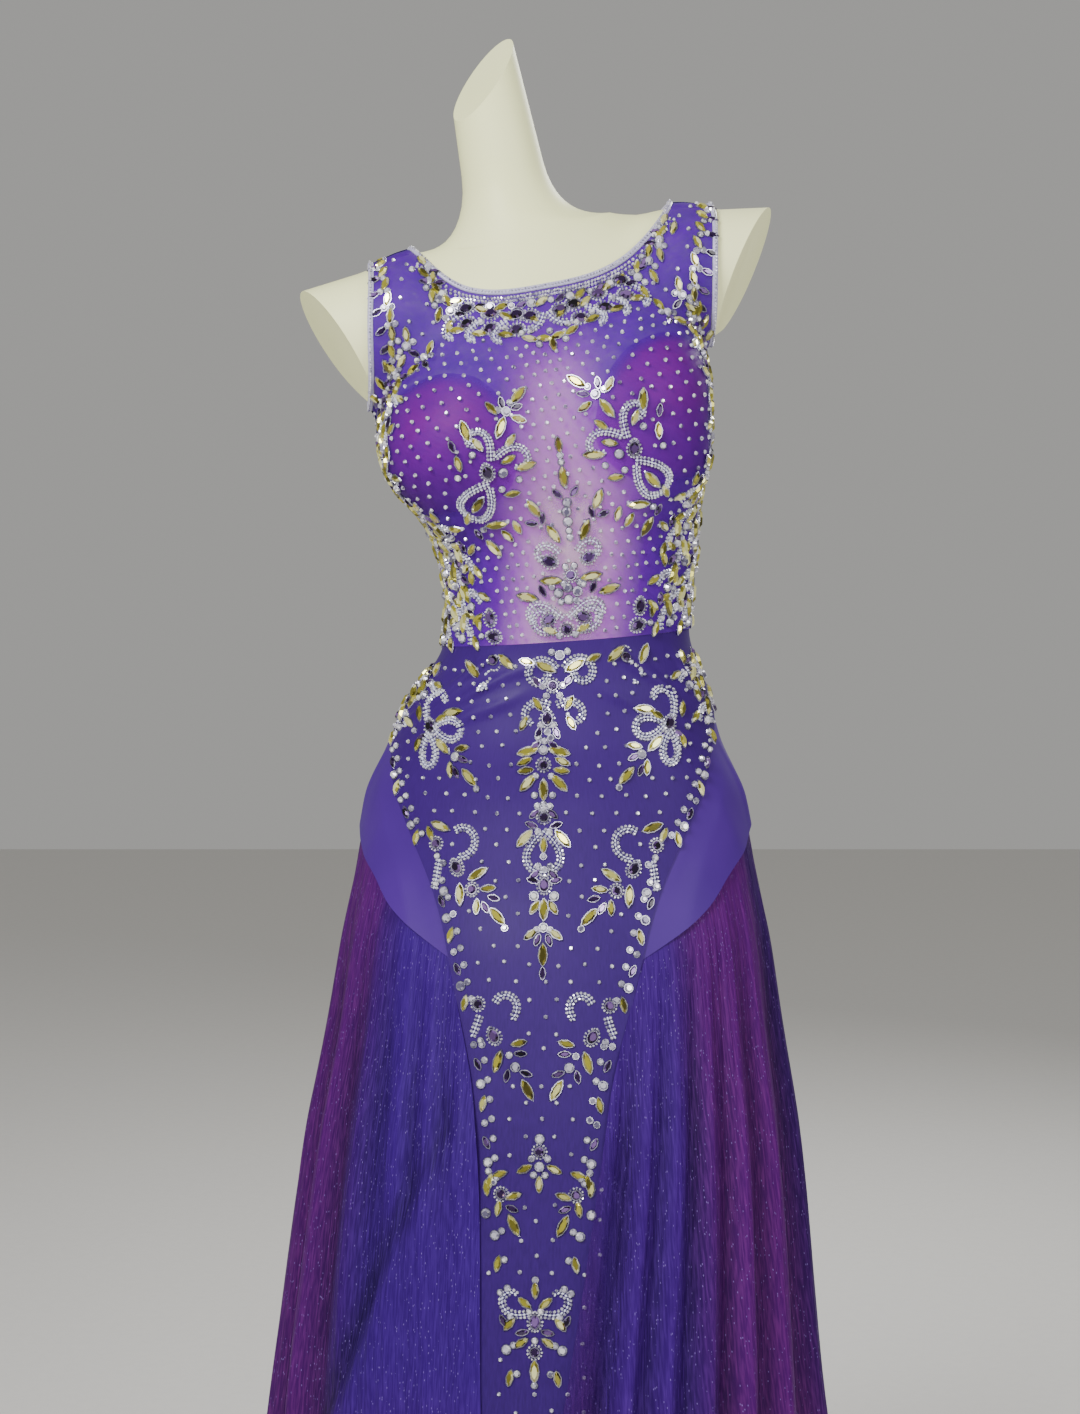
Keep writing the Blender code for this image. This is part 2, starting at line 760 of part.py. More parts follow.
def mirrored(points):
    """The same line on the other side, run backwards."""
    return (np.asarray(points) * np.array([-1.0, 1.0]))[::-1]


def joined(*lines):
    """Lines run together into one outline, each shared corner kept once."""
    points = []
    for line in lines:
        for point in line:
            if not points or np.abs(np.subtract(point, points[-1])).max() > 1e-9:
                points.append(tuple(point))
    if np.abs(np.subtract(points[0], points[-1])).max() <= 1e-9:
        points.pop()
    return np.array(points)


def neck_rises(turns, low):
    """Rise of the neckline at each turn, for a low point at centre."""
    near, far = np.full(len(turns), 1.20), np.full(len(turns), 1.45)
    for _ in range(30):
        middle = (near + far) / 2
        points = skin(turns, middle)
        line = low + (NECK_TOP - low) * (np.abs(points[:, 0]) / NECK_CORNER) ** NECK_SHAPE
        below = points[:, 2] < line
        near, far = np.where(below, middle, near), np.where(below, far, middle)
    return near


def polar(points):
    """Turn and rise of points above the chest."""
    middle = float(smooth(FIGURE, 3, CHEST))
    turn = np.degrees(np.arctan2(points[:, 0], middle - points[:, 1]))
    level = np.hypot(points[:, 0], points[:, 1] - middle)
    tip = np.arctan2(points[:, 2] - CHEST, level)
    return np.stack([turn, CHEST + SHOULDER_RAY * tip], axis=1)


def arm_ring(reach, start, end, count):
    """Points round the right arm that far out, between two angles from the front up."""
    around = np.radians(np.linspace(start, end, count))
    near, far = np.zeros(count), np.full(count, 0.12)
    spread = np.stack([0 * around, -np.cos(around), np.sin(around)], axis=1)
    centre = np.array([reach, *ARM_CENTRE[1:]]) + 0 * spread
    for _ in range(30):
        middle = (near + far) / 2
        outside = figure(centre + spread * middle[:, None]) > 0
        near, far = np.where(outside, near, middle), np.where(outside, middle, far)
    return centre + spread * near[:, None]


def armhole(start, end, count):
    """The right armhole's edge between two angles round the arm, as turn and rise."""
    return polar(arm_ring(ARMHOLE_REACH, start, end, count))


FRONT_ARM = armhole(90.0, -90.0, 12)
BACK_ARM = armhole(270.0, 90.0, 12)
NECK_TURNS = np.linspace(-90, 90, 29)
FRONT_NECK = np.stack([NECK_TURNS, neck_rises(NECK_TURNS, NECK_LOW_FRONT)], axis=1)
BACK_NECK_TURNS = np.linspace(90, 180, 10)
BACK_NECK = np.stack([BACK_NECK_TURNS, neck_rises(BACK_NECK_TURNS, NECK_LOW_BACK)], axis=1)
SIDE_BODICE = straight((SIDE_SEAM, WAIST), FRONT_ARM[-1], 11)
SHOULDER_SEAM = straight(FRONT_ARM[0], FRONT_NECK[-1], 4)


def zip_turn(height, across, table, column):
    """Turn of a place so far from centre back, by the reach that a table gives there."""
    return 180.0 - math.degrees(across / float(smooth(table, column, height)))


def zip_side(heights, across, above_waist):
    """A line beside centre back through some heights."""
    table, column = (FIGURE, 2) if above_waist else (SKIRT, 1)
    return np.array([(zip_turn(height, across, table, column), height) for height in heights])


ZIP_BODICE = np.linspace(WAIST, BACK_NECK[-1, 1], 13)
ZIP_YOKE = np.linspace(ZIP_FOOT, WAIST, 8)


def add_mirrored(name, outline, place, offs, finish, steps, girth=BODICE_GIRTH, dense=None):
    """A right and a left piece of plain cloth from the right one's outline."""
    for hand, line in (("right", outline), ("left", mirrored(outline))):
        add_patch(f"{name}_{hand}", line, place, offs, finish, steps, (), girth, dense)


# Bodice

def add_bodice_front():
    """Sheer beaded net from side seam to side seam, with the shoulder straps."""
    right = joined(SIDE_BODICE, FRONT_ARM[::-1], SHOULDER_SEAM)
    waist = straight((-SIDE_SEAM, WAIST), (SIDE_SEAM, WAIST), 25)
    outline = joined(waist, right, FRONT_NECK[::-1], mirrored(right))
    marks = raised(BODICE_ORNAMENTS, on_net)
    offs = (NET_OFF, NET_OFF + NET)
    bust = (15.0, 88.0, 1.135, 1.330)
    steps = (13.0, 0.024)
    add_patch("bodice_front", outline, on_net, offs, "lilac_net", steps, marks, dense=bust)


def add_bodice_backs():
    """Two plain backs that meet the zip at centre back."""
    neck = np.vstack([FRONT_NECK[-1:], BACK_NECK[1:-1]])
    centre = zip_side(ZIP_BODICE, ZIP_WIDE / 2, True)
    outline = joined(
        straight((SIDE_SEAM, WAIST), centre[0], 11),
        centre,
        neck[::-1],
        SHOULDER_SEAM[::-1],
        BACK_ARM[::-1],
        SIDE_BODICE[::-1],
    )
    offs = (NET_OFF, NET_OFF + CLOTH)
    add_mirrored("bodice_back", outline, on_bodice, offs, "beaded_satin", (15.0, 0.027))


def add_cups():
    """Shaped bust cups that lie between the form and the net."""
    top = curve(CUP_TOP, 1, *CUP_TURNS, 13)
    foot = curve(CUP_FOOT, 1, *CUP_TURNS, 12)
    sides = straight(foot[-1], top[-1], 5), straight(top[0], foot[0], 4)
    outline = joined(foot, sides[0], top[::-1], sides[1])
    offs = (LINING_OFF + CUP_PAD, LINING_OFF + CUP_PAD + CLOTH)
    add_mirrored("cup", outline, on_bodice, offs, "plum_lining", (7.0, 0.013))


def add_side_linings():
    """Opaque linings under the net at the sides of the waist, below the cups."""
    inner = curve(LINING_EDGE, 1, WAIST + LINING_GAP, LINING_TOP, 9, first="height")
    top = curve(CUP_FOOT, 1, *LINING_TURNS, 11) - np.array([0, 0.001])
    corner = (LINING_TURNS[1], WAIST + LINING_GAP)
    outline = joined(
        straight(inner[0], corner, 8), straight(corner, top[-1], 8), top[::-1], inner[::-1]
    )
    offs = (LINING_OFF, LINING_OFF + CLOTH)
    bust = (15.0, 88.0, 1.13, 1.19)
    steps = (12.0, 0.024)
    add_mirrored("side_lining", outline, on_bodice, offs, "plum_lining", steps, dense=bust)


def add_band(name, line, towards, closed):
    """A rounded binding along an edge of the bodice, in its surface, on the side towards a point."""
    line = np.asarray(line)
    off = np.full(len(line), NET_OFF + NET / 2)
    centre = on_bodice(line[:, 0], line[:, 1], off)
    above = on_bodice(line[:, 0], line[:, 1], off + 0.001)
    if closed:
        ahead = np.roll(centre, -1, axis=0) - np.roll(centre, 1, axis=0)
    else:
        ahead = np.gradient(centre, axis=0)
    normal = above - centre
    normal /= np.linalg.norm(normal, axis=1)[:, None]
    ahead /= np.linalg.norm(ahead, axis=1)[:, None]
    beside = np.cross(normal, ahead)
    beside /= np.linalg.norm(beside, axis=1)[:, None]
    if (beside * (stand(np.array([towards])) - centre)).sum() < 0:
        beside = -beside
    middle = centre + beside * (BINDING_WIDE / 2 + SEAM)
    rings = []
    for angle in np.radians(np.arange(30, 390, 60)):
        wide = math.cos(angle) * BINDING_WIDE / 2 / math.cos(math.radians(30))
        tall = math.sin(angle) * BINDING_THICK / 2
        rings.append(middle + beside * wide + normal * tall)
    points = np.stack(rings, axis=1).reshape(-1, 3)
    add_loft(name, points, len(rings), len(line), closed, "silver_binding")


def add_loft(name, points, sides, rows, closed, finish):
    """A closed tube through rows of points; open ends are capped."""
    faces = []
    for row in range(rows if closed else rows - 1):
        after = (row + 1) % rows
        for side in range(sides):
            beside = (side + 1) % sides
            faces.append(
                (
                    row * sides + side,
                    row * sides + beside,
                    after * sides + beside,
                    after * sides + side,
                )
            )
    if not closed:
        faces.append(tuple(reversed(range(sides))))
        faces.append(tuple(range((rows - 1) * sides, rows * sides)))
    part = add_mesh(name, points, faces, finish)
    face_outward(part)
    return part


def face_outward(part):
    """Turn a closed mesh's faces to point out."""
    work = bmesh.new()
    work.from_mesh(part.data)
    bmesh.ops.recalc_face_normals(work, faces=work.faces)
    if work.calc_volume(signed=True) < 0:
        bmesh.ops.reverse_faces(work, faces=work.faces)
    work.to_mesh(part.data)
    work.free()


def add_bindings():
    """Beaded bindings round the neck, open at the zip, and round both armholes."""
    back = BACK_NECK[1:-1]
    loop = joined(mirrored(back), FRONT_NECK, back)
    above_neck, past_arm = (0, 0.01, 1.60), (0.26, 0.012, 1.36)
    add_band("neck_binding", loop, above_neck, False)
    around = joined(BACK_ARM[::-1], FRONT_ARM[::-1])
    add_band("armhole_binding_right", around, past_arm, True)
    add_band("armhole_binding_left", mirrored(around), (-past_arm[0], *past_arm[1:]), True)


# Below the waist

def parting(height, side):
    """Turn of the front panel's seen edge, left for -1 and right for 1."""
    return float(smooth(PANEL_EDGE, 1 if side < 0 else 2, height))


def panel_turn(height, side):
    """Turn of the front panel's own edge, part of it under the tulle."""
    return parting(height, side) + float(smooth(PANEL_EDGE, 3 if side < 0 else 4, height))


PANEL_HEIGHTS = np.concatenate([np.linspace(HEM, 0.72, 13), np.linspace(0.75, WING_TOP, 17)])


def panel_side(side):
    """The front panel's edge from hem to side seam."""
    return np.array([(side * panel_turn(h, side), h) for h in PANEL_HEIGHTS])


def add_front_panel():
    """Beaded panel from waist to hem, wide over the hips and narrow below the point."""
    right, left = panel_side(1), panel_side(-1)
    outline = joined(
        straight(left[0], right[0], 7),
        right,
        SIDE_BASQUE,
        straight((SIDE_SEAM, WAIST), (-SIDE_SEAM, WAIST), 21),
        mirrored(SIDE_BASQUE),
        left[::-1],
    )
    marks = raised(PANEL_ORNAMENTS, on_skirt)
    offs = (PANEL_OFF, PANEL_OFF + CLOTH)
    steps = (10.0, 0.036)
    add_patch("front_panel", outline, on_skirt, offs, "beaded_satin", steps, marks, SKIRT_GIRTH)


def wing_edge():
    """The panel's slanted seam beside the wing, from the point outward."""
    heights = PANEL_HEIGHTS[PANEL_HEIGHTS >= POINT_HEIGHT - 1e-9]
    return np.array([(panel_turn(h, 1), h) for h in heights])


def yoke_hem(turn):
    """Height of the yoke's lower edge at a turn from centre front."""
    return smooth(YOKE_HEM, 1, np.abs(turn))


SIDE_YOKE = straight((SIDE_SEAM, 0.883), (SIDE_SEAM, WING_TOP), 6)
SIDE_BASQUE = straight((SIDE_SEAM, WING_TOP), (SIDE_SEAM, WAIST), 5)


def hem_line(low, high):
    """The yoke's lower edge between two turns, at the tulle's own columns."""
    turns = []
    for start, end, _ in GORE_SEAMS:
        first = start or parting(POINT_HEIGHT, 1)
        turns += list(np.linspace(first, end, GORE_COLUMNS + 1))
    kept = sorted({round(t, 6) for t in turns if low - 1e-6 <= t <= high + 1e-6})
    return np.array([(t, float(yoke_hem(t))) for t in kept])


def add_yoke():
    """Satin hip wings beside the point, and the plain satin back of the yoke."""
    outline = joined(hem_line(0.0, SIDE_SEAM), SIDE_YOKE, wing_edge()[::-1])
    offs = (PANEL_OFF, PANEL_OFF + CLOTH)
    add_mirrored("hip_wing", outline, on_skirt, offs, "violet_satin", (10.0, 0.03), SKIRT_GIRTH)

    centre = zip_side(ZIP_YOKE, ZIP_WIDE / 2, False)
    back_hem = hem_line(SIDE_SEAM, 180.0)
    back_hem[-1, 0] = YOKE_SPLIT
    outline = joined(
        back_hem,
        [(YOKE_SPLIT, ZIP_FOOT), *centre],
        straight(centre[-1], (SIDE_SEAM, WAIST), 11),
        SIDE_BASQUE[::-1],
        SIDE_YOKE[::-1],
    )
    add_mirrored("basque_back", outline, on_skirt, offs, "violet_satin", (14.0, 0.034), SKIRT_GIRTH)


def add_zip():
    """The closed zip at centre back, from the neck to the hips."""
    half = ZIP_WIDE / 2 - 2 * SEAM
    rows = []
    for heights, above_waist in ((ZIP_YOKE, False), (ZIP_BODICE, True)):
        ends = heights[[0, -1]]
        heights = np.interp(heights, ends, ends + np.array(ZIP_ENDS))
        place, base = (on_bodice, NET_OFF) if above_waist else (on_skirt, PANEL_OFF)
        sides = [zip_side(heights, x, above_waist) for x in (half, 0, -half, -half, 0, half)]
        offs = base + np.array([ZIP_EDGE, ZIP_CREST, ZIP_EDGE, 0.0, 0.0, 0.0])
        for row in np.stack(sides, axis=1):
            rows.append(place(row[:, 0], row[:, 1], offs))
    add_loft("zip_back", np.vstack(rows), 6, len(rows), False, "zip_tape")


# Tulle skirt

def fold(turn, fall, side):
    """How far a fold stands out at a turn and fall below the yoke, and the cloth's lift."""
    share = min(fall / SKIRT_FALL, 1.0)
    yoke_column, hem_column = (0, 1) if side < 0 else (2, 3)
    crests = [row[yoke_column] + (row[hem_column] - row[yoke_column]) * share for row in FOLDS]
    number = np.interp(turn, crests, range(len(FOLDS)))
    deep = np.interp(number, range(len(FOLDS)), [row[4] for row in FOLDS])
    wave = 0.5 + 0.5 * math.cos(2 * math.pi * number)
    depth = float(smooth(FOLD_DEPTH, 1, fall)) * deep
    return float(smooth(LIFT, 1, fall)) + depth * wave ** 1.25


def tulle_point(turn, height, side):
    """A point on the tulle's inner face."""
    fall = float(yoke_hem(turn)) - height
    return on_skirt(side * turn, height, fold(turn, max(fall, 0), side))[0]


def add_gore(name, start, end, side, finish):
    """One gore of the tulle skirt, its folds deepening towards the hem."""
    low = parting(POINT_HEIGHT, side) if start == 0 else start
    inner, outer = [], []
    for share in GORE_ROWS:
        for column in range(GORE_COLUMNS + 1):
            part = column / GORE_COLUMNS
            top_turn = low + (end - low) * part
            top = float(yoke_hem(top_turn)) - TULLE_DROP
            height = top + (HEM - top) * share
            edge = parting(height, side) if start == 0 else start
            gap = math.degrees(SEAM / float(smooth(SKIRT, 1, height)))
            first, last = edge + gap, end - gap
            turn = first + (last - first) * part
            point = tulle_point(turn, height, side)
            beside = tulle_point(turn + 0.3, height, side)
            below = tulle_point(turn, height - 0.003, side)
            normal = np.cross(beside - point, point - below) * side
            normal /= np.linalg.norm(normal)
            inner.append(point)
            outer.append(point + normal * NET)
    add_sheet(name, np.array(outer), np.array(inner), GORE_COLUMNS + 1, finish)


def add_sheet(name, outer, inner, wide, finish):
    """A closed wall between two grids of points, so many wide, with rows running down."""
    start = len(outer)
    rows = start // wide
    faces = []
    for row in range(rows - 1):
        for column in range(wide - 1):
            a, b = row * wide + column, row * wide + column + 1
            c, d = b + wide, a + wide
            faces += [(a, d, c, b), (start + a, start + b, start + c, start + d)]
    rim = list(range(wide))
    rim += [row * wide + wide - 1 for row in range(1, rows)]
    rim += [(rows - 1) * wide + column for column in range(wide - 2, -1, -1)]
    rim += [row * wide for row in range(rows - 2, 0, -1)]
    for i, here in enumerate(rim):
        after = rim[(i + 1) % len(rim)]
        faces.append((here, after, start + after, start + here))
    face_outward(add_mesh(name, np.vstack([outer, inner]), faces, finish))


def add_skirt():
    """The tulle skirt's gores, the same number on each side."""
    for side, hand in ((1, "right"), (-1, "left")):
        for place, (start, end, finish) in zip(("front", "side", "back"), GORE_SEAMS):
            add_gore(f"skirt_{place}_{hand}", start, end, side, finish)


# Display form and stand

NECK_RINGS = (
    # height, rays_up_degrees, lean_share
    (1.330, 51.0, 0.3),
    (1.372, 38.0, 0.6),
    (1.415, 23.0, 1.0),
    (1.460, 8.0, 1.0),
    (1.520, 0.0, 1.0),
    (1.580, 0.0, 1.0),
    (1.640, 0.0, 1.0),
)
FORM_TURNS = (0, 15, 30, 45, 60, 72, 82, 90, 98, 108, 120, 135, 150, 165, 180)
FORM_HEIGHTS = (
    *(FORM_FOOT, 0.90, 0.98, 1.016, WAIST, 1.10, 1.135),
    *(1.155, 1.172, 1.19, 1.215, 1.242, 1.268, CHEST),
)
FORM_TIPS = (3, 6, 10, 15, 21, 27, 33, 39, 47, 56)
FORM_SHOULDER = 0.156
ARM_REACHES = (0.1505, 0.158, 0.170, 0.190, 0.220, 0.250)
ARM_SIDES = 16
ARM_SHRINK = 0.992
NECK_LEAN = (-0.20, -0.12)
FORM_CUTS = (
    # name, point, way_out, rise
    ("neck_cut", (-0.0633, -0.002, 1.5597), (-0.706, -0.46, 0.538), 0.0),
    ("left_cut", (-0.1630, 0.0, 1.2640), (-0.84, -0.25, -0.55), 0.98),
    ("right_cut", (0.1470, 0.0, 1.3280), (0.93, -0.20, -0.37), 0.98),
)


def form_rings():
    """Rings of points up the bare figure, flat where the arms leave it."""
    turns = np.radians([*FORM_TURNS, *[-t for t in FORM_TURNS[-2:0:-1]]])
    around = np.stack([np.sin(turns), -np.cos(turns), 0 * turns], axis=1)
    rings = []
    for height in FORM_HEIGHTS:
        middle = np.array([0, float(smooth(FIGURE, 3, height)), height])
        rings.append(cast(middle + 0 * around, around))
    middle = np.array([0, float(smooth(FIGURE, 3, CHEST)), CHEST])
    for tip in np.radians(FORM_TIPS):
        rays = around * math.cos(tip) + np.array([0, 0, math.sin(tip)])
        rings.append(cast(middle + 0 * around, rays, widest=FORM_SHOULDER))
    for height, up, lean in NECK_RINGS:
        share = (height - NECK_FOOT[2]) / (NECK_HEAD[2] - NECK_FOOT[2])
        centre = np.array(NECK_FOOT) + share * np.subtract(NECK_HEAD, NECK_FOOT)
        axis = np.array([NECK_LEAN[0] * lean, NECK_LEAN[1] * lean, 1.0])
        axis /= np.linalg.norm(axis)
        level = around - np.outer(around @ axis, axis)
        level /= np.linalg.norm(level, axis=1)[:, None]
        tip = math.radians(up)
        rings.append(cast(centre + 0 * around, level * math.cos(tip) + axis * math.sin(tip)))
    return rings


def add_cutter(name, point, way, rise):
    """A hidden block that removes all past a plane, from just below a point on it upwards."""
    size = 0.30
    bpy.ops.mesh.primitive_cube_add(size=size)
    block = bpy.context.object
    block.name = name
    way = Vector(way).normalized()
    up = (Vector((0, 0, 1)) - way * way.z).normalized()
    across = up.cross(way)
    block.rotation_euler = Matrix((across, up, way)).transposed().to_euler()
    block.location = Vector(point) + way * size / 2 + up * rise * size / 2
    block.hide_render = True
    block.display_type = "WIRE"
    return block


def add_arm(name, side):
    """A hidden short arm, joined to the torso and then cut to its stub."""
    rings = []
    last = 360.0 * (ARM_SIDES - 1) / ARM_SIDES
    for reach in ARM_REACHES:
        ring = arm_ring(reach, 0.0, last, ARM_SIDES) - np.array(ARM_CENTRE)
        ring = ring * np.array([1.0, ARM_SHRINK, ARM_SHRINK]) + np.array(ARM_CENTRE)
        rings.append(stand(ring * np.array([side, 1.0, 1.0])))
    arm = add_loft(name, np.vstack(rings), ARM_SIDES, len(rings), False, "form_shell")
    arm.hide_render = True
    arm.display_type = "WIRE"
    return arm


def add_form():
    """Torso of the display form, cut off flat at the neck and both shoulders."""
    rings = form_rings()
    sides = len(rings[0])
    points = np.vstack(rings)
    ease = smooth(FORM_EASE, 1, points[:, 2])[:, None]
    points = stand(points - outward(points) * ease)
    part = add_loft("form_torso", points, sides, len(rings), False, "form_shell")
    combine(part, add_arm("left_arm", -1), "UNION")
    combine(part, add_arm("right_arm", 1), "UNION")
    for name, *where in FORM_CUTS:
        combine(part, add_cutter(name, *where), "DIFFERENCE")


def combine(part, other, operation):
    """Joins a second solid to a part, or cuts it away."""
    change = part.modifiers.new(other.name, "BOOLEAN")
    change.operation = operation
    change.solver = "EXACT"
    change.object = other


def add_stand():
    """Round base plate with its pole up to the torso."""
    profile = (
        # radius, height
        (0.0, 0.0),
        (BASE_RADIUS, 0.0),
        (BASE_RADIUS, BASE_THICK - BASE_BEVEL),
        (BASE_RADIUS - BASE_BEVEL, BASE_THICK),
        (POLE_RADIUS + COLLAR_FOOT, BASE_THICK),
        (POLE_RADIUS + COLLAR_TOP, BASE_THICK + COLLAR_HEIGHT),
        (POLE_RADIUS, BASE_THICK + COLLAR_HEIGHT + COLLAR_BEVEL),
        (POLE_RADIUS, FORM_FOOT - SEAM),
        (0.0, FORM_FOOT - SEAM),
    )
    steps = 32
    points = [(0, 0, profile[0][1])]
    for radius, height in profile[1:-1]:
        for angle in np.radians(np.arange(steps) * 360 / steps):
            points.append((radius * math.cos(angle), radius * math.sin(angle), height))
    points.append((0, 0, profile[-1][1]))
    last = len(points) - 1
    faces = [(0, 1 + (i + 1) % steps, 1 + i) for i in range(steps)]
    for row in range(len(profile) - 3):
        for i in range(steps):
            a, b = 1 + row * steps + i, 1 + row * steps + (i + 1) % steps
            faces.append((a, b, b + steps, a + steps))
    top = 1 + (len(profile) - 3) * steps
    faces += [(top + i, top + (i + 1) % steps, last) for i in range(steps)]
    face_outward(add_mesh("form_stand", points, faces, "stand_metal"))


for old in list(bpy.data.objects):
    bpy.data.objects.remove(old)
add_form()
add_stand()
add_cups()
add_side_linings()
add_bodice_front()
add_bodice_backs()
add_bindings()
add_zip()
add_front_panel()
add_yoke()
add_skirt()
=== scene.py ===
"""Looks of a prom gown on its display form.

The gown has a sheer beaded bodice, a beaded front panel, a satin hip yoke and a glitter tulle skirt. Metres,
+Z up, front towards -Y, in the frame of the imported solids. The figure is drawn upright and even on both
sides, and its stance (sway, shoulder tilt, twist) is added last. A place on the gown is a "turn", degrees
round from centre front (left of the picture is negative), and a "rise", its height up the body, which goes
on over the shoulders as the ray from the chest tips up.
"""

import json
import math

import bmesh
import bpy
import numpy as np
from mathutils import Matrix, Vector, geometry
from mathutils.bvhtree import BVHTree

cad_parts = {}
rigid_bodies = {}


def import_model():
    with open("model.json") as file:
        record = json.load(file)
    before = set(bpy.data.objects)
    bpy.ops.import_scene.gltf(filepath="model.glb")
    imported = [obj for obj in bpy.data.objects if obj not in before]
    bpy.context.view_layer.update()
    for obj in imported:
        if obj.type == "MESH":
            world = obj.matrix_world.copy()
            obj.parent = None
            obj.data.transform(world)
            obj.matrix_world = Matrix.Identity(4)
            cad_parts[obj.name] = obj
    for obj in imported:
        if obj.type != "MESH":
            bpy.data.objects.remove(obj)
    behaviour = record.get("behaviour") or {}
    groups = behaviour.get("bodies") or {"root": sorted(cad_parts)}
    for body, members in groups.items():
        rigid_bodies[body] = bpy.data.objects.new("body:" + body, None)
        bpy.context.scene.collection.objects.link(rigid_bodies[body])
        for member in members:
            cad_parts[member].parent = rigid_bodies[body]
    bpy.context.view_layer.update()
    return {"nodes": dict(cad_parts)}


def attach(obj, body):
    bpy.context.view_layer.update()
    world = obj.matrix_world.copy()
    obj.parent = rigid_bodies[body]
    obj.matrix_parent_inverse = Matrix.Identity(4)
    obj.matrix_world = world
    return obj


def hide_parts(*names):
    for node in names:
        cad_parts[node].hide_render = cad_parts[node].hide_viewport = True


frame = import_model()
nodes = frame["nodes"]
bpy.ops.object.select_all(action="DESELECT")

# Dress form
# The shop's display torso is a moulded shell with a matt cream lacquer, cut off flat at the neck and both
# shoulders. Its skin is one soft blend of trunk, bust, shoulder girdle, arm stubs and a leaning neck.

CHEST = 1.29
SHOULDER_RAY = 0.13
TRUNK_TOP = 1.415
TRUNK_TOP_SLOPE = 0.8
BREAST_MIDDLE = (0.070, -0.056, 1.240)
BREAST_RADII = (0.070, 0.056, 0.076)
ARM_MIDDLE = (0.012, 1.362)
NECK_FOOT = (-0.0105, 0.022, 1.360)
NECK_HEAD = (-0.0674, -0.012, 1.640)
NECK_LEAN = (-0.20, -0.12)
# Each bar runs from one end to the other and has a radius at each
GIRDLE = ((0, 0.016, 1.372), (0.108, 0.012, 1.368), 0.048, 0.047)
ARM = ((0.13, 0.010, 1.362), (0.30, 0.012, 1.346), 0.056, 0.050)
NECK = (NECK_FOOT, NECK_HEAD, 0.045, 0.028)
# How wide each form melts into the trunk
BREAST_JOIN = 0.036
GIRDLE_JOIN = 0.045
ARM_JOIN = 0.030
NECK_JOIN = 0.050
FIGURE = (
    # height, half_width, half_depth, middle
    (0.760, 0.150, 0.098, 0.015),
    (0.860, 0.168, 0.108, 0.016),
    (0.905, 0.173, 0.108, 0.015),
    (0.958, 0.151, 0.101, 0.012),
    (0.995, 0.138, 0.093, 0.009),
    (1.052, 0.1105, 0.085, 0.005),
    (1.087, 0.1085, 0.084, 0.003),
    (1.142, 0.1150, 0.087, 0.003),
    (1.179, 0.1240, 0.090, 0.005),
    (1.216, 0.1380, 0.093, 0.007),
    (1.271, 0.1490, 0.096, 0.009),
    (1.300, 0.1480, 0.095, 0.011),
    (1.340, 0.1340, 0.086, 0.013),
    (1.380, 0.1040, 0.070, 0.015),
    (1.420, 0.0640, 0.050, 0.018),
    (1.460, 0.0350, 0.034, 0.020),
    (1.500, 0.0080, 0.008, 0.020),
)
STANCE = (
    # height, sway, tilt_degrees, twist_degrees
    (0.000, -0.005, 0.0, -4.0),
    (0.340, -0.004, 0.0, -4.0),
    (0.770, 0.002, 0.0, -4.3),
    (0.950, 0.001, 0.5, -5.5),
    (0.995, 0.004, 2.0, -4.0),
    (1.052, 0.0125, 4.0, -2.5),
    (1.110, 0.0165, 6.0, -1.4),
    (1.175, 0.0110, 8.5, 1.4),
    (1.230, -0.007, 10.0, 5.0),
    (1.300, -0.010, 11.0, 5.0),
    (1.360, -0.012, 10.7, 5.0),
    (1.420, -0.010, 10.5, 5.0),
    (1.700, -0.010, 10.5, 5.0),
)
FORM_EASE = (
    # height, how far the shell lies inside the figure's skin
    (0.800, 0.0030),
    (1.290, 0.0026),
    (1.340, 0.0014),
    (1.380, 0.0006),
    (1.640, 0.0004),
)
NECK_RINGS = (
    # step, height, rays_up_degrees, lean_share
    (0, 1.330, 51.0, 0.3),
    (1, 1.372, 38.0, 0.6),
    (2, 1.415, 23.0, 1.0),
    (3, 1.460, 8.0, 1.0),
    (4, 1.520, 0.0, 1.0),
    (5, 1.580, 0.0, 1.0),
    (6, 1.640, 0.0, 1.0),
)
FORM_CUTS = (
    # name, point, way_out, rise
    ("neck_cut", (-0.0633, -0.002, 1.5597), (-0.706, -0.46, 0.538), 0.0),
    ("left_cut", (-0.1630, 0.0, 1.2640), (-0.84, -0.25, -0.55), 0.98),
    ("right_cut", (0.1470, 0.0, 1.3280), (0.93, -0.20, -0.37), 0.98),
)
HOLLOW_PASSES = 5
HOLLOW_HALF = 0.026
HOLLOW_RISE = 1.235
HOLLOW_TALL = 0.085
FORM_SIDES = 96
FORM_FOOT = 0.80
FORM_WIDEST = 0.156
SKIN_WIDEST = 0.170
SHOULDER_TIPS = (2.5, 56)
RAY_LONGEST = 0.42
RAY_HALVINGS = 34
ARM_SIDES = 48
ARM_WIDEST = 0.12
ARM_HALVINGS = 30
STUB_REACHES = (0.1505, 0.158, 0.170, 0.190, 0.220, 0.250)
STUB_EASE = 0.993
CUTTER_SIZE = 0.30
LACQUER_CREASE = 38


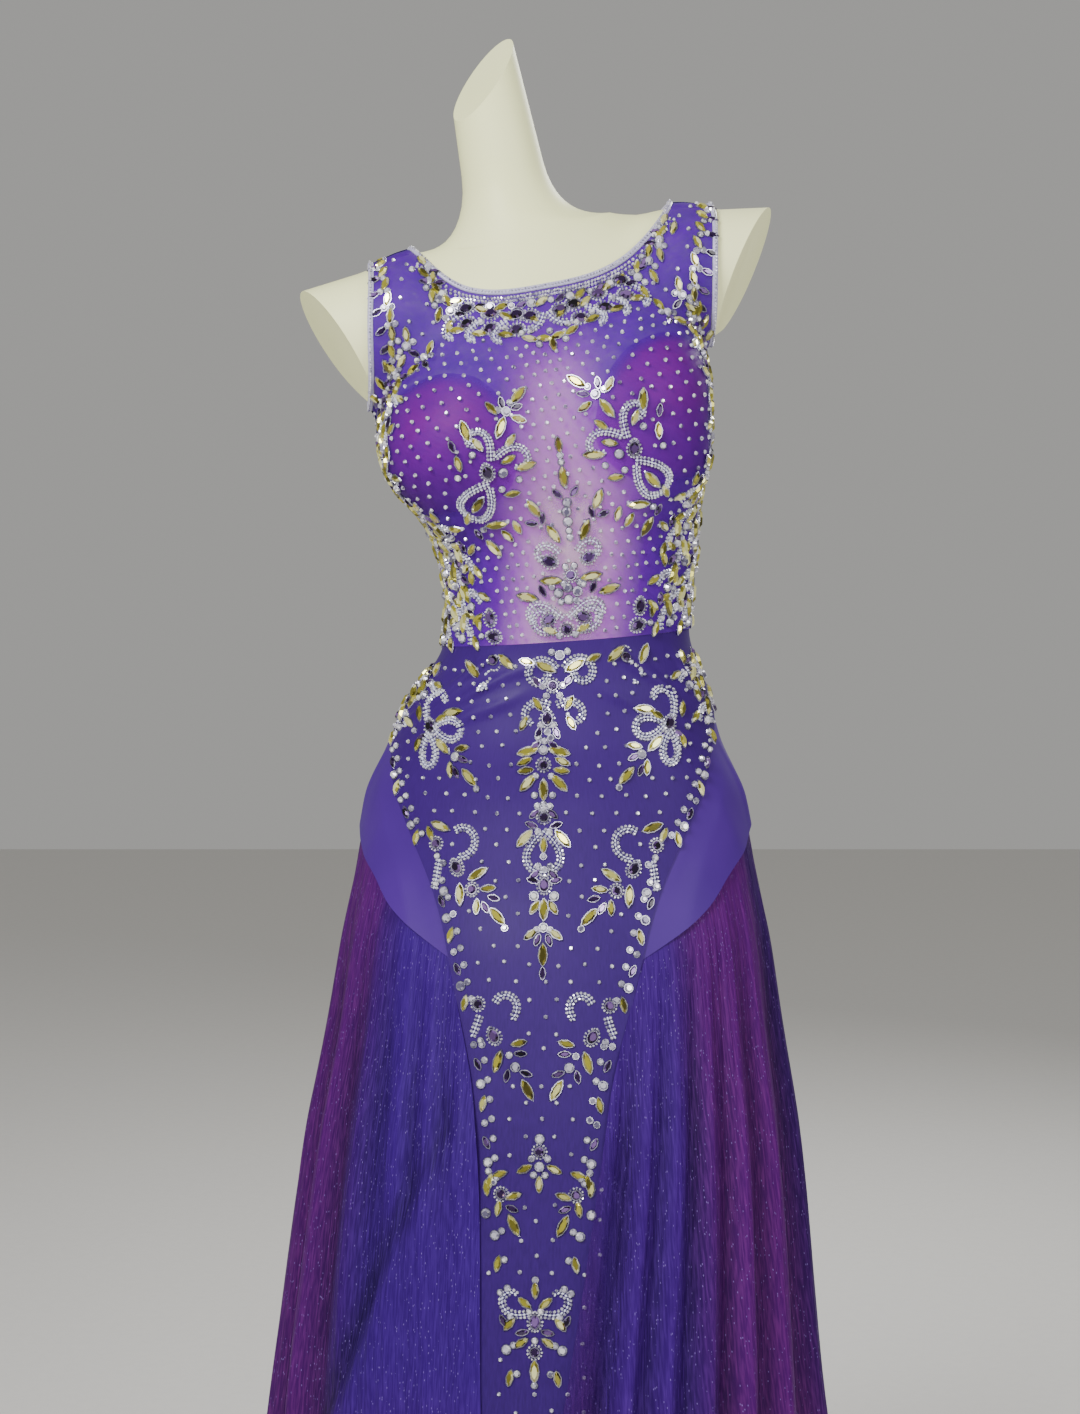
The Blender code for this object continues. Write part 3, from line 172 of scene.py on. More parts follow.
def smooth(table, column, at):
    """Value of a table's column at one or many places in its first column, through smooth cubic spans."""
    xs = np.array([row[0] for row in table], float)
    ys = np.array([row[column] for row in table], float)
    at = np.clip(np.asarray(at, float), xs[0], xs[-1])
    steps = np.diff(ys) / np.diff(xs)
    slopes = np.empty(len(xs))
    slopes[0], slopes[-1] = steps[0], steps[-1]
    same_way = steps[:-1] * steps[1:] > 0
    mean = 2 * steps[:-1] * steps[1:] / np.where(same_way, steps[:-1] + steps[1:], 1)
    slopes[1:-1] = np.where(same_way, mean, 0)
    i = np.clip(np.searchsorted(xs, at, side="right") - 1, 0, len(xs) - 2)
    span = xs[i + 1] - xs[i]
    u = (at - xs[i]) / span
    return (
        ys[i] * (1 + 2 * u) * (1 - u) ** 2
        + slopes[i] * span * u * (1 - u) ** 2
        + ys[i + 1] * u * u * (3 - 2 * u)
        + slopes[i + 1] * span * u * u * (u - 1)
    )


def melt(a, b, width):
    """The lesser of two distances, with a soft join of that width."""
    share = np.clip(0.5 + 0.5 * (b - a) / width, 0, 1)
    return b * (1 - share) + a * share - width * share * (1 - share)


def rod(points, start, end, start_radius, end_radius):
    """Distance to a round bar with domed ends."""
    start, end = np.array(start), np.array(end)
    along = end - start
    share = np.clip(((points - start) @ along) / (along @ along), 0, 1)
    nearest = start + share[:, None] * along
    radius = start_radius + share * (end_radius - start_radius)
    return np.linalg.norm(points - nearest, axis=1) - radius


def figure(points):
    """How far points are outside the bare figure, about; less than nothing inside it."""
    x, y, h = points.T
    width, depth = smooth(FIGURE, 1, h), smooth(FIGURE, 2, h)
    middle = smooth(FIGURE, 3, h)
    trunk = (np.hypot(x / width, (y - middle) / depth) - 1) * np.minimum(width, depth)
    trunk = np.maximum(trunk, (h - TRUNK_TOP) * TRUNK_TOP_SLOPE)
    even = np.stack([np.abs(x), y, h], axis=1)
    breast = (even - np.array(BREAST_MIDDLE)) / np.array(BREAST_RADII)
    breast = (np.linalg.norm(breast, axis=1) - 1) * min(BREAST_RADII)
    body = melt(trunk, breast, BREAST_JOIN)
    body = melt(body, rod(even, *GIRDLE), GIRDLE_JOIN)
    body = melt(body, rod(even, *ARM), ARM_JOIN)
    return melt(body, rod(points, *NECK), NECK_JOIN)


def cast(origins, directions, widest=0.40):
    """Where rays from inside the figure leave it, or pass the widest place wanted."""
    across = np.maximum(np.abs(directions[:, 0]), 1e-6)
    near = np.zeros(len(origins))
    far = np.minimum(RAY_LONGEST, widest / across)
    for _ in range(RAY_HALVINGS):
        middle = (near + far) / 2
        outside = figure(origins + directions * middle[:, None]) > 0
        near, far = np.where(outside, near, middle), np.where(outside, middle, far)
    return origins + directions * near[:, None]


def skin(turn, rise):
    """Points on the bare upright figure, the shoulders' ends left out."""
    turn, rise = np.broadcast_arrays(np.radians(np.asarray(turn, float)), np.asarray(rise, float))
    level = np.minimum(rise, CHEST)
    tip = np.maximum(rise - CHEST, 0) / SHOULDER_RAY
    origins = np.stack([0 * level, smooth(FIGURE, 3, level), level], axis=1)
    directions = np.stack(
        [np.sin(turn) * np.cos(tip), -np.cos(turn) * np.cos(tip), np.sin(tip)], axis=1
    )
    return cast(origins, directions, widest=SKIN_WIDEST)


def outward(points):
    """Unit directions straight out of the figure's surface."""
    reach = 0.0008
    slopes = [figure(points + step) - figure(points - step) for step in np.eye(3) * reach]
    slopes = np.stack(slopes, axis=1)
    return slopes / np.linalg.norm(slopes, axis=1)[:, None]


def stand(points):
    """Upright points as the figure stands: twisted, tilted and swayed."""
    x, y, h = points.T
    twist = np.radians(smooth(STANCE, 3, h))
    tilt = np.radians(smooth(STANCE, 2, h))
    across = x * np.cos(twist) - y * np.sin(twist)
    back = x * np.sin(twist) + y * np.cos(twist)
    return np.stack(
        [smooth(STANCE, 1, h) + across * np.cos(tilt), back, h + across * np.sin(tilt)], axis=1
    )


def arm_ring(reach, start, end, count):
    """Points round the right arm that far out, between two angles from the front up."""
    around = np.radians(np.linspace(start, end, count))
    near, far = np.zeros(count), np.full(count, ARM_WIDEST)
    spread = np.stack([0 * around, -np.cos(around), np.sin(around)], axis=1)
    centre = np.array([reach, *ARM_MIDDLE]) + 0 * spread
    for _ in range(ARM_HALVINGS):
        middle = (near + far) / 2
        outside = figure(centre + spread * middle[:, None]) > 0
        near, far = np.where(outside, near, middle), np.where(outside, middle, far)
    return centre + spread * near[:, None]


def add_object(name, points, faces):
    """A new object at the origin from points and faces."""
    mesh = bpy.data.meshes.new(name)
    mesh.from_pydata([tuple(p) for p in points], [], [tuple(f) for f in faces])
    mesh.shade_smooth()
    made = bpy.data.objects.new(name, mesh)
    bpy.context.scene.collection.objects.link(made)
    return made


def pick(piece):
    """Makes one object the active and only selected one."""
    bpy.ops.object.select_all(action="DESELECT")
    piece.select_set(True)
    bpy.context.view_layer.objects.active = piece


def face_out(piece):
    """Turns a closed mesh's faces to point out."""
    work = bmesh.new()
    work.from_mesh(piece.data)
    bmesh.ops.recalc_face_normals(work, faces=work.faces)
    if work.calc_volume(signed=True) < 0:
        bmesh.ops.reverse_faces(work, faces=work.faces)
    work.to_mesh(piece.data)
    work.free()


def add_tube(name, rings, closed):
    """A closed tube through rings of points; open ends are capped."""
    sides, rows = len(rings[0]), len(rings)
    faces = []
    for row in range(rows if closed else rows - 1):
        here, after = row * sides, (row + 1) % rows * sides
        for i in range(sides):
            j = (i + 1) % sides
            faces.append((here + i, here + j, after + j, after + i))
    if not closed:
        faces.append(tuple(reversed(range(sides))))
        faces.append(tuple(range((rows - 1) * sides, rows * sides)))
    made = add_object(name, np.vstack(rings), faces)
    face_out(made)
    return made


def form_rings():
    """Rings of points up the bare figure, flat where the arms leave it."""
    turns = np.radians(np.arange(FORM_SIDES) * 360 / FORM_SIDES)
    around = np.stack([np.sin(turns), -np.cos(turns), 0 * turns], axis=1)
    rings = []
    for height in np.linspace(FORM_FOOT, CHEST, 40):
        middle = np.array([0, float(smooth(FIGURE, 3, height)), height])
        rings.append(cast(middle + 0 * around, around))
    middle = np.array([0, float(smooth(FIGURE, 3, CHEST)), CHEST])
    for tip in np.radians(np.linspace(*SHOULDER_TIPS, 22)):
        rays = around * math.cos(tip) + np.array([0, 0, math.sin(tip)])
        rings.append(cast(middle + 0 * around, rays, widest=FORM_WIDEST))
    for step in np.linspace(0, 6, 25):
        height, up, lean = (float(smooth(NECK_RINGS, column, step)) for column in (1, 2, 3))
        share = (height - NECK_FOOT[2]) / (NECK_HEAD[2] - NECK_FOOT[2])
        centre = np.array(NECK_FOOT) + share * np.subtract(NECK_HEAD, NECK_FOOT)
        axis = np.array([NECK_LEAN[0] * lean, NECK_LEAN[1] * lean, 1.0])
        axis /= np.linalg.norm(axis)
        level = around - np.outer(around @ axis, axis)
        level /= np.linalg.norm(level, axis=1)[:, None]
        tip = math.radians(up)
        rings.append(cast(centre + 0 * around, level * math.cos(tip) + axis * math.sin(tip)))
    return rings


def add_cutter(name, point, way, rise):
    """A block that removes all past a plane, from just below a point on it upwards."""
    bpy.ops.mesh.primitive_cube_add(size=CUTTER_SIZE)
    block = bpy.context.object
    block.name = name
    way = Vector(way).normalized()
    up = (Vector((0, 0, 1)) - way * way.z).normalized()
    across = up.cross(way)
    block.rotation_euler = Matrix((across, up, way)).transposed().to_euler()
    block.location = Vector(point) + way * CUTTER_SIZE / 2 + up * rise * CUTTER_SIZE / 2
    return block


def add_stub(name, side):
    """A short arm that is joined to the torso and then cut off flat."""
    rings = []
    middle = np.array([0, *ARM_MIDDLE])
    for reach in STUB_REACHES:
        ring = arm_ring(reach, 0.0, 360.0 * (ARM_SIDES - 1) / ARM_SIDES, ARM_SIDES)
        ring = (ring - middle) * np.array([1, STUB_EASE, STUB_EASE])
        rings.append(stand((ring + middle) * np.array([side, 1, 1])))
    return add_tube(name, rings, False)


def combine(piece, other, operation):
    """Joins a second solid to a piece, or cuts it away, and removes the second one."""
    pick(piece)
    change = piece.modifiers.new(other.name, "BOOLEAN")
    change.operation = operation
    change.solver = "EXACT"
    change.object = other
    bpy.ops.object.modifier_apply(modifier=change.name)
    bpy.data.objects.remove(other)


def colour(code):
    """An sRGB hex colour as linear red, green, blue and alpha."""
    parts = [int(code[i : i + 2], 16) / 255 for i in (0, 2, 4)]
    return (*[c / 12.92 if c <= 0.04045 else ((c + 0.055) / 1.055) ** 2.4 for c in parts], 1)


def new_material(name):
    """A new material with nothing but its Principled shader."""
    material = bpy.data.materials.new(name)
    material.use_nodes = True
    return material


def add_node(material, kind, inputs=None, **settings):
    """One shader node with its settings and links."""
    made = material.node_tree.nodes.new(f"ShaderNode{kind}")
    for name, value in settings.items():
        setattr(made, name, value)
    join(material, made, inputs or {})
    return made


def join(material, made, inputs):
    """Sets a node's inputs, each by a link from another node, by a colour's hex code or by a value."""
    for name, value in inputs.items():
        if isinstance(value, bpy.types.NodeSocket):
            material.node_tree.links.new(value, made.inputs[name])
        else:
            made.inputs[name].default_value = colour(value) if isinstance(value, str) else value


def finish(material, share, tones, look, relief=None):
    """Ends a material: a colour that runs from one tone to another, its gloss and, if any, a fine relief."""
    shader = material.node_tree.nodes["Principled BSDF"]
    tone = add_node(material, "Mix", {0: share, 6: tones[0], 7: tones[1]}, data_type="RGBA")
    join(material, shader, {"Base Color": tone.outputs[2], **look})
    if relief:
        height, strength, distance = relief
        bump = {"Height": height, "Strength": strength, "Distance": distance}
        join(material, shader, {"Normal": add_node(material, "Bump", bump).outputs[0]})


def soften(rings):
    """The torso's rings with the hollow between the breasts rubbed to a soft trough."""
    for _ in range(HOLLOW_PASSES):
        x, y, z = np.moveaxis(rings, 2, 0)
        share = np.exp(-((x / HOLLOW_HALF) ** 4) - ((z - HOLLOW_RISE) / HOLLOW_TALL) ** 4) * (y < 0)
        between = (np.roll(rings, 1, axis=1) + np.roll(rings, -1, axis=1)) / 2
        rings = rings + (between - rings) * 0.5 * share[:, :, None]
    return rings


# Cream lacquer, sprayed and rubbed down: a soft broad gloss with a faint orange peel of about 4 mm
form_lacquer = new_material("matt_cream_lacquer")
place = add_node(form_lacquer, "TexCoord").outputs["Object"]
cloud = add_node(form_lacquer, "TexNoise", {"Vector": place, "Scale": 9, "Detail": 3})
peel = add_node(form_lacquer, "TexNoise", {"Vector": place, "Scale": 250, "Detail": 2})
dull = add_node(form_lacquer, "MapRange", {"Value": cloud.outputs["Fac"], 3: 0.42, 4: 0.55})
finish(
    form_lacquer, cloud.outputs["Fac"], ("F6F9B6", "FCFDC8"),
    {"Roughness": dull.outputs[0], "Specular IOR Level": 0.4}, (peel.outputs["Fac"], 0.12, 0.0004),
)

points = soften(np.stack(form_rings())).reshape(-1, 3)
eased = points - outward(points) * smooth(FORM_EASE, 1, points[:, 2])[:, None]
torso = add_tube("display_torso", stand(eased).reshape(-1, FORM_SIDES, 3), False)
for name, side in (("left_stub", -1), ("right_stub", 1)):
    combine(torso, add_stub(name, side), "UNION")
for cut in FORM_CUTS:
    combine(torso, add_cutter(*cut), "DIFFERENCE")
pick(torso)
bpy.ops.object.shade_smooth_by_angle(angle=math.radians(LACQUER_CREASE))
torso.data.materials.append(form_lacquer)
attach(torso, "root")
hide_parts("form_torso")

# Stand
# A steel pole screwed into a round base plate, both brushed and lacquered. The pole enters the torso's foot.

steel = new_material("brushed_steel")
place = add_node(steel, "TexCoord").outputs["Object"]
stretch = add_node(steel, "Mapping", {"Vector": place, "Scale": (900, 900, 14)})
brush = add_node(steel, "TexNoise", {"Vector": stretch.outputs[0], "Scale": 1, "Detail": 2})
rough = add_node(steel, "MapRange", {"Value": brush.outputs["Fac"], 3: 0.25, 4: 0.42})
finish(
    steel, brush.outputs["Fac"], ("BFBFBC", "D2D2CF"), {"Metallic": 1.0, "Roughness": rough.outputs[0]},
    (brush.outputs["Fac"], 0.15, 0.0002),
)
nodes["form_stand"].data.materials.clear()
nodes["form_stand"].data.materials.append(steel)

# Bust cups
# Two pressed cups of plum lining satin, sewn between the net and the form, that show through the net.

WAIST = 1.052
LINING_OFF = 0.0009
CUP_OFF = 0.0014
CLOTH = 0.0012
LINING_CLOTH = CLOTH * 0.9
BODY_GIRTH = 0.0020
CUP_STEP = 0.0036
CUP_INNER = 17.0
CUP_OUTER = 87.0
# Where the painted highlight lies on each cup and how far it spreads; how dark the seam and painted shade
# along the rim are, and how wide
CUP_HIGHLIGHT = (43.0, 1.262)
CUP_HIGHLIGHT_SPREAD = (0.042, 0.044)
RIM_SEAM_AND_SHADE = 0.75
RIM_WIDE = 0.0022
CLOTH_CREASE = 50
# Spacing of a cloth's rows and its least distance from the edge, in steps of its mesh
ROW_STEP = 0.87
EDGE_STEP = 0.45
CUP_TOP = (
    # turn, height
    (17.0, 1.2300),
    (20.0, 1.2600),
    (26.0, 1.2820),
    (34.0, 1.2960),
    (46.0, 1.3020),
    (60.0, 1.2960),
    (75.0, 1.2800),
    (90.0, 1.2640),
)
CUP_FOOT = (
    # turn, height
    (17.0, 1.2300),
    (19.0, 1.2120),
    (24.0, 1.1960),
    (32.0, 1.1850),
    (46.0, 1.1790),
    (58.0, 1.1800),
    (70.0, 1.1870),
    (90.0, 1.1960),
)


def on_bodice(turn, rise, off):
    """Points that far off the figure's skin, in its stance."""
    points = skin(turn, rise)
    return stand(points + outward(points) * np.reshape(off, (-1, 1)))


def curve(table, start, end, count, first="turn"):
    """Points along a table's line; its first column is the turn or the height."""
    at = np.linspace(start, end, count)
    values = smooth(table, 1, at)
    return np.stack((at, values) if first == "turn" else (values, at), axis=1)


def straight(start, end, count):
    """Even points from one place to another, both ends included."""
    return np.linspace(np.array(start, float), np.array(end, float), count)


def mirrored(points):
    """The same line on the other side, run backwards."""
    return (np.asarray(points) * np.array([-1.0, 1.0]))[::-1]


def both_hands(outline):
    """An outline for each hand, as drawn on the right and mirrored on the left."""
    return (("right", outline), ("left", mirrored(outline)))


def joined(*lines):
    """Lines run together into one outline, each shared corner kept once."""
    points = []
    for point in np.vstack(lines):
        if not points or np.abs(point - points[-1]).max() > 1e-9:
            points.append(point)
    if np.abs(points[0] - points[-1]).max() <= 1e-9:
        points.pop()
    return np.array(points)


def inside(points, outline):
    """Which points lie inside a closed outline."""
    x, y = points[:, 0][:, None], points[:, 1][:, None]
    x0, y0 = outline.T
    x1, y1 = np.roll(outline, -1, axis=0).T
    straddles = (y0 > y) != (y1 > y)
    with np.errstate(divide="ignore", invalid="ignore"):
        crossing = x0 + (y - y0) * (x1 - x0) / (y1 - y0)
    return (straddles & (x < crossing)).sum(axis=1) % 2 == 1


def clearance(points, outline):
    """How far points lie from a closed outline."""
    start = outline[None]
    along = np.roll(outline, -1, axis=0)[None] - start
    to_point = points[:, None] - start
    share = (to_point * along).sum(2) / np.maximum((along * along).sum(2), 1e-12)
    nearest = np.clip(share, 0, 1)[:, :, None] * along
    return np.linalg.norm(to_point - nearest, axis=2).min(axis=1)


def add_cloth(name, outline, surface, off, step=0.005, girth=BODY_GIRTH):
    """A sheet of cloth inside an outline of turns and rises; its UVs are metres across and up."""
    outline = np.asarray(outline) * np.array([girth, 1.0])
    low, high = outline.min(axis=0), outline.max(axis=0)
    across = np.arange(low[0], high[0], step)
    up = np.arange(low[1], high[1], step * ROW_STEP)
    grid = np.array([(x + step / 2 * (row % 2), y) for row, y in enumerate(up) for x in across])
    grid = grid[inside(grid, outline)]
    grid = grid[clearance(grid, outline) > step * EDGE_STEP]
    points = np.vstack([outline, grid])
    edges = [(i, (i + 1) % len(outline)) for i in range(len(outline))]
    found = geometry.delaunay_2d_cdt([Vector(p) for p in points], edges, [], 1, 1e-7)
    points = np.array([tuple(p) for p in found[0]])
    turn, rise = points[:, 0] / girth, points[:, 1]
    lift = off(turn, rise) if callable(off) else np.full(len(turn), off)
    made = add_object(name, surface(turn, rise, lift), found[2])
    add_uv(made, points)
    return made


def add_uv(piece, flat):
    """A UV map from each point's place on the flat cloth, in metres."""
    layer = piece.data.uv_layers.new(name="cut")
    corners = np.empty(len(piece.data.loops), int)
    piece.data.loops.foreach_get("vertex_index", corners)
    layer.data.foreach_set("uv", np.asarray(flat, float)[corners].ravel())


def make_up(piece, thick, *materials):
    """Gives a sheet its cloth and thickness, outward; a second material goes to its cut edges."""
    for material in materials:
        piece.data.materials.append(material)
    pick(piece)
    wall = piece.modifiers.new("wall", "SOLIDIFY")
    wall.thickness = thick
    wall.offset = 1.0
    wall.material_offset_rim = len(materials) - 1
    bpy.ops.object.modifier_apply(modifier=wall.name)
    bpy.ops.object.shade_smooth_by_angle(angle=math.radians(CLOTH_CREASE))


def cut_sheet(piece):
    """Works out a piece of cloth's spread over the body, flat, across and up; nothing uses it."""
    width, length = np.ptp(flat_places(piece), axis=0)


# Plum lining satin: a fine twill of about 1.6 mm, drawn coarse enough to show, with a soft sheen; a painted
# highlight brightens its crown, and its stitched rim is darkened partly by the seam and partly by painted
# shade
plum_lining = new_material("plum_lining_satin")
place = add_node(plum_lining, "UVMap", uv_map="cut").outputs[0]
twill = add_node(
    plum_lining, "TexWave", {"Vector": place, "Scale": 100, "Distortion": 1.5, "Detail": 1},
    bands_direction="DIAGONAL",
)
cloud = add_node(plum_lining, "TexNoise", {"Vector": place, "Scale": 40})
# The crown's bright magenta is a painted highlight; the rim's dark line is the seam with painted shade
crown = add_node(plum_lining, "Attribute", attribute_name="crown").outputs["Fac"]
rim = add_node(plum_lining, "Attribute", attribute_name="rim").outputs["Fac"]
dye = add_node(plum_lining, "Mix", {0: crown, 6: "46007A", 7: "A8088C"}, data_type="RGBA")
clouded = add_node(
    plum_lining, "Mix", {0: cloud.outputs["Fac"], 6: dye.outputs[2], 7: "7C0492"}, data_type="RGBA"
)
finish(
    plum_lining, rim, (clouded.outputs[2], "1E0038"), {"Roughness": 0.5, "Specular IOR Level": 0.2},
    (twill.outputs["Fac"], 0.25, 0.0003),
)


def add_value(piece, name, values):
    """A number at each point of a piece, for its material."""
    layer = piece.data.attributes.new(name, "FLOAT", "POINT")
    layer.data.foreach_set("value", np.asarray(values, np.float32))


def flat_places(piece):
    """Each point's place on the flat cloth, in metres, read back from the UV map."""
    flat = np.empty(len(piece.data.loops) * 2)
    piece.data.uv_layers["cut"].data.foreach_get("uv", flat)
    corners = np.empty(len(piece.data.loops), int)
    piece.data.loops.foreach_get("vertex_index", corners)
    places = np.zeros((len(piece.data.vertices), 2))
    places[corners] = flat.reshape(-1, 2)
    return places


def paint_lining_light(piece, outline, crown, spread):
    """The lining's painted light: a painted highlight at its crown, and a dark stitched rim, partly seam and
    partly painted shade.
    """
    places = flat_places(piece)
    off = (np.abs(places) - np.array([crown[0] * BODY_GIRTH, crown[1]])) / np.array(spread)
    add_value(piece, "crown", np.exp(-(off**2).sum(axis=1)))
    edge = clearance(places, outline * np.array([BODY_GIRTH, 1]))
    add_value(piece, "rim", RIM_SEAM_AND_SHADE * np.exp(-((edge / RIM_WIDE) ** 2)))


top = curve(CUP_TOP, CUP_INNER, CUP_OUTER, 60)
foot = curve(CUP_FOOT, CUP_INNER, CUP_OUTER, 40)
cup_edge = joined(foot, straight(foot[-1], top[-1], 14), top[::-1], straight(top[0], foot[0], 10))
for hand, line in both_hands(cup_edge):
    cup = add_cloth(f"bust_cup_{hand}", line, on_bodice, CUP_OFF, CUP_STEP)
    paint_lining_light(cup, line, CUP_HIGHLIGHT, CUP_HIGHLIGHT_SPREAD)
    cut_sheet(cup)
    make_up(cup, LINING_CLOTH, plum_lining)
    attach(cup, "root")
    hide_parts(f"cup_{hand}")

# Side linings
# Panels of the same plum satin under the net, from the cups down to the waist seam.

LINING_FOOT = WAIST + 0.004
LINING_TOP = 1.176
LINING_GAP = 0.001
LINING_INNER = 42.0
# Where the painted highlight lies on each side lining and how far it spreads
LINING_HIGHLIGHT = (40.0, 1.170)
LINING_HIGHLIGHT_SPREAD = (0.020, 0.030)
LINING_EDGE = (
    # height, turn
    (1.052, 41.0),
    (1.100, 42.5),
    (1.140, 43.0),
    (1.190, 41.0),
)

inner = curve(LINING_EDGE, LINING_FOOT, LINING_TOP, 30, first="height")
foot = curve(CUP_FOOT, LINING_INNER, CUP_OUTER, 30) - np.array([0, LINING_GAP])
corner = (CUP_OUTER, LINING_FOOT)
outer = joined(straight(inner[0], corner, 24), straight(corner, foot[-1], 20))
lining_edge = joined(outer, foot[::-1], inner[::-1])
for hand, line in both_hands(lining_edge):
    lining = add_cloth(f"waist_lining_{hand}", line, on_bodice, LINING_OFF)
    paint_lining_light(lining, line, LINING_HIGHLIGHT, LINING_HIGHLIGHT_SPREAD)
    cut_sheet(lining)
    make_up(lining, LINING_CLOTH, plum_lining)
    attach(lining, "root")
    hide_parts(f"side_lining_{hand}")

# Sheer bodice front
# One piece of lilac stretch net from side seam to side seam, cut with its shoulder straps, that lies taut
# over the cups and lets the pale form show through.

NET_OFF = 0.0036
NET_OVER_CUPS = 0.0024
NECK_CORNER = 0.1205
NECK_TOP = 1.4195
NECK_LOW_FRONT = 1.3610
NECK_LOW_BACK = 1.3850
NECK_SHAPE = 3.0
NECK_SEARCH = (1.20, 1.45)
NECK_HALVINGS = 30
ARMHOLE_REACH = 0.1540
SIDE_SEAM = 90.0
CUP_MIDDLE = (38.0, 1.228)
CUP_SPREAD = (24.0, 0.050)
CUP_BLEND = 0.010
PALE_EDGE = 2.6
PALE_MIDDLE = (
    # height, half width in turn, share of the form's tone that comes through
    (1.050, 31.0, 1.60),
    (1.150, 30.0, 1.60),
    (1.200, 25.0, 1.15),
    (1.240, 20.0, 0.90),
    (1.280, 17.0, 0.75),
    (1.310, 20.0, 0.30),
    (1.340, 26.0, 0.10),
    (1.400, 30.0, 0.00),
)
TAUT_SPAN = 12.0
TAUT_TURN = 22.0
TAUT_RISE = 1.225
TAUT_TALL = 0.080


def on_net(turn, rise, off):
    """Points off the skin, eased over the cups and drawn taut across the hollow between them."""
    across = (np.abs(turn) - CUP_MIDDLE[0]) / CUP_SPREAD[0]
    up = (rise - CUP_MIDDLE[1]) / CUP_SPREAD[1]
    lift = off + NET_OVER_CUPS * np.exp(-(across**2 + up**2))
    if np.abs(turn).min() > 2 * TAUT_TURN:
        return on_bodice(turn, rise, lift)
    taut = TAUT_SPAN * np.exp(-((turn / TAUT_TURN) ** 4) - ((rise - TAUT_RISE) / TAUT_TALL) ** 4)
    shares = np.linspace(-1, 1, 9)
    return np.mean([on_bodice(turn + taut * share, rise, lift) for share in shares], axis=0)


def neck_rises(turns, low):
    """Rise of the neckline at each turn, for a low point at centre."""
    near, far = (np.full(len(turns), rise) for rise in NECK_SEARCH)
    for _ in range(NECK_HALVINGS):
        middle = (near + far) / 2
        points = skin(turns, middle)
        line = low + (NECK_TOP - low) * (np.abs(points[:, 0]) / NECK_CORNER) ** NECK_SHAPE
        below = points[:, 2] < line
        near, far = np.where(below, middle, near), np.where(below, far, middle)
    return near


def armhole(start, end, count):
    """The right armhole's edge between two angles round the arm, as turn and rise."""
    points = arm_ring(ARMHOLE_REACH, start, end, count)
    middle = float(smooth(FIGURE, 3, CHEST))
    turn = np.degrees(np.arctan2(points[:, 0], middle - points[:, 1]))
    level = np.hypot(points[:, 0], points[:, 1] - middle)
    tip = np.arctan2(points[:, 2] - CHEST, level)
    return np.stack([turn, CHEST + SHOULDER_RAY * tip], axis=1)


FRONT_ARM = armhole(90.0, -90.0, 48)
BACK_ARM = armhole(270.0, 90.0, 48)
NECK_TURNS = np.linspace(-90, 90, 91)
FRONT_NECK = np.stack([NECK_TURNS, neck_rises(NECK_TURNS, NECK_LOW_FRONT)], axis=1)
BACK_TURNS = np.linspace(90, 180, 40)
BACK_NECK = np.stack([BACK_TURNS, neck_rises(BACK_TURNS, NECK_LOW_BACK)], axis=1)
SIDE_BODICE = straight((SIDE_SEAM, WAIST), FRONT_ARM[-1], 40)
SHOULDER_SEAM = straight(FRONT_ARM[0], FRONT_NECK[-1], 12)


# Lilac stretch net: see-through nylon mesh, its cells drawn at 2.5 mm so that they show, laid double, which
# clouds it; the pale form behind it warms the middle of the body, so its dye looks pinker there
lilac_net = new_material("lilac_stretch_net")
place = add_node(lilac_net, "UVMap", uv_map="cut").outputs[0]
cells = add_node(lilac_net, "TexVoronoi", {"Vector": place, "Scale": 420}, feature="DISTANCE_TO_EDGE")
cloud = add_node(lilac_net, "TexNoise", {"Vector": place, "Scale": 60, "Detail": 3})
middle = add_node(lilac_net, "Attribute", attribute_name="middle").outputs["Fac"]
edge_tone = add_node(
    lilac_net, "Mix", {0: cloud.outputs["Fac"], 6: "36047C", 7: "5A109E"}, data_type="RGBA"
)
thread = add_node(
    lilac_net, "MapRange", {"Value": cells.outputs["Distance"], 1: 0.0, 2: 0.35, 3: 0.94, 4: 0.84}
)
open_share = add_node(lilac_net, "MapRange", {"Value": middle, 2: 1.6, 3: 0.98, 4: 0.50})
over_cups = add_node(lilac_net, "Attribute", attribute_name="stretched").outputs["Fac"]
stretched = add_node(lilac_net, "MapRange", {"Value": over_cups, 3: 1.0, 4: 0.50})
moire = add_node(
    lilac_net, "TexNoise",
    {"Vector": place, "Scale": 105, "Detail": 4, "Roughness": 0.6, "Distortion": 1.2},
)
doubled = add_node(
    lilac_net, "MapRange", {"Value": moire.outputs["Fac"], 1: 0.3, 2: 0.7, 3: 0.90, 4: 1.08}
)
cover = thread.outputs[0]
for share in (open_share, doubled, stretched):
    cover = add_node(lilac_net, "Math", {0: cover, 1: share.outputs[0]}, operation="MULTIPLY").outputs[0]
finish(
    lilac_net, middle, (edge_tone.outputs[2], "A22CCC"),
    {"Roughness": 0.55, "Specular IOR Level": 0.15, "Alpha": cover},
    (cells.outputs["Distance"], 0.2, 0.0003),
)

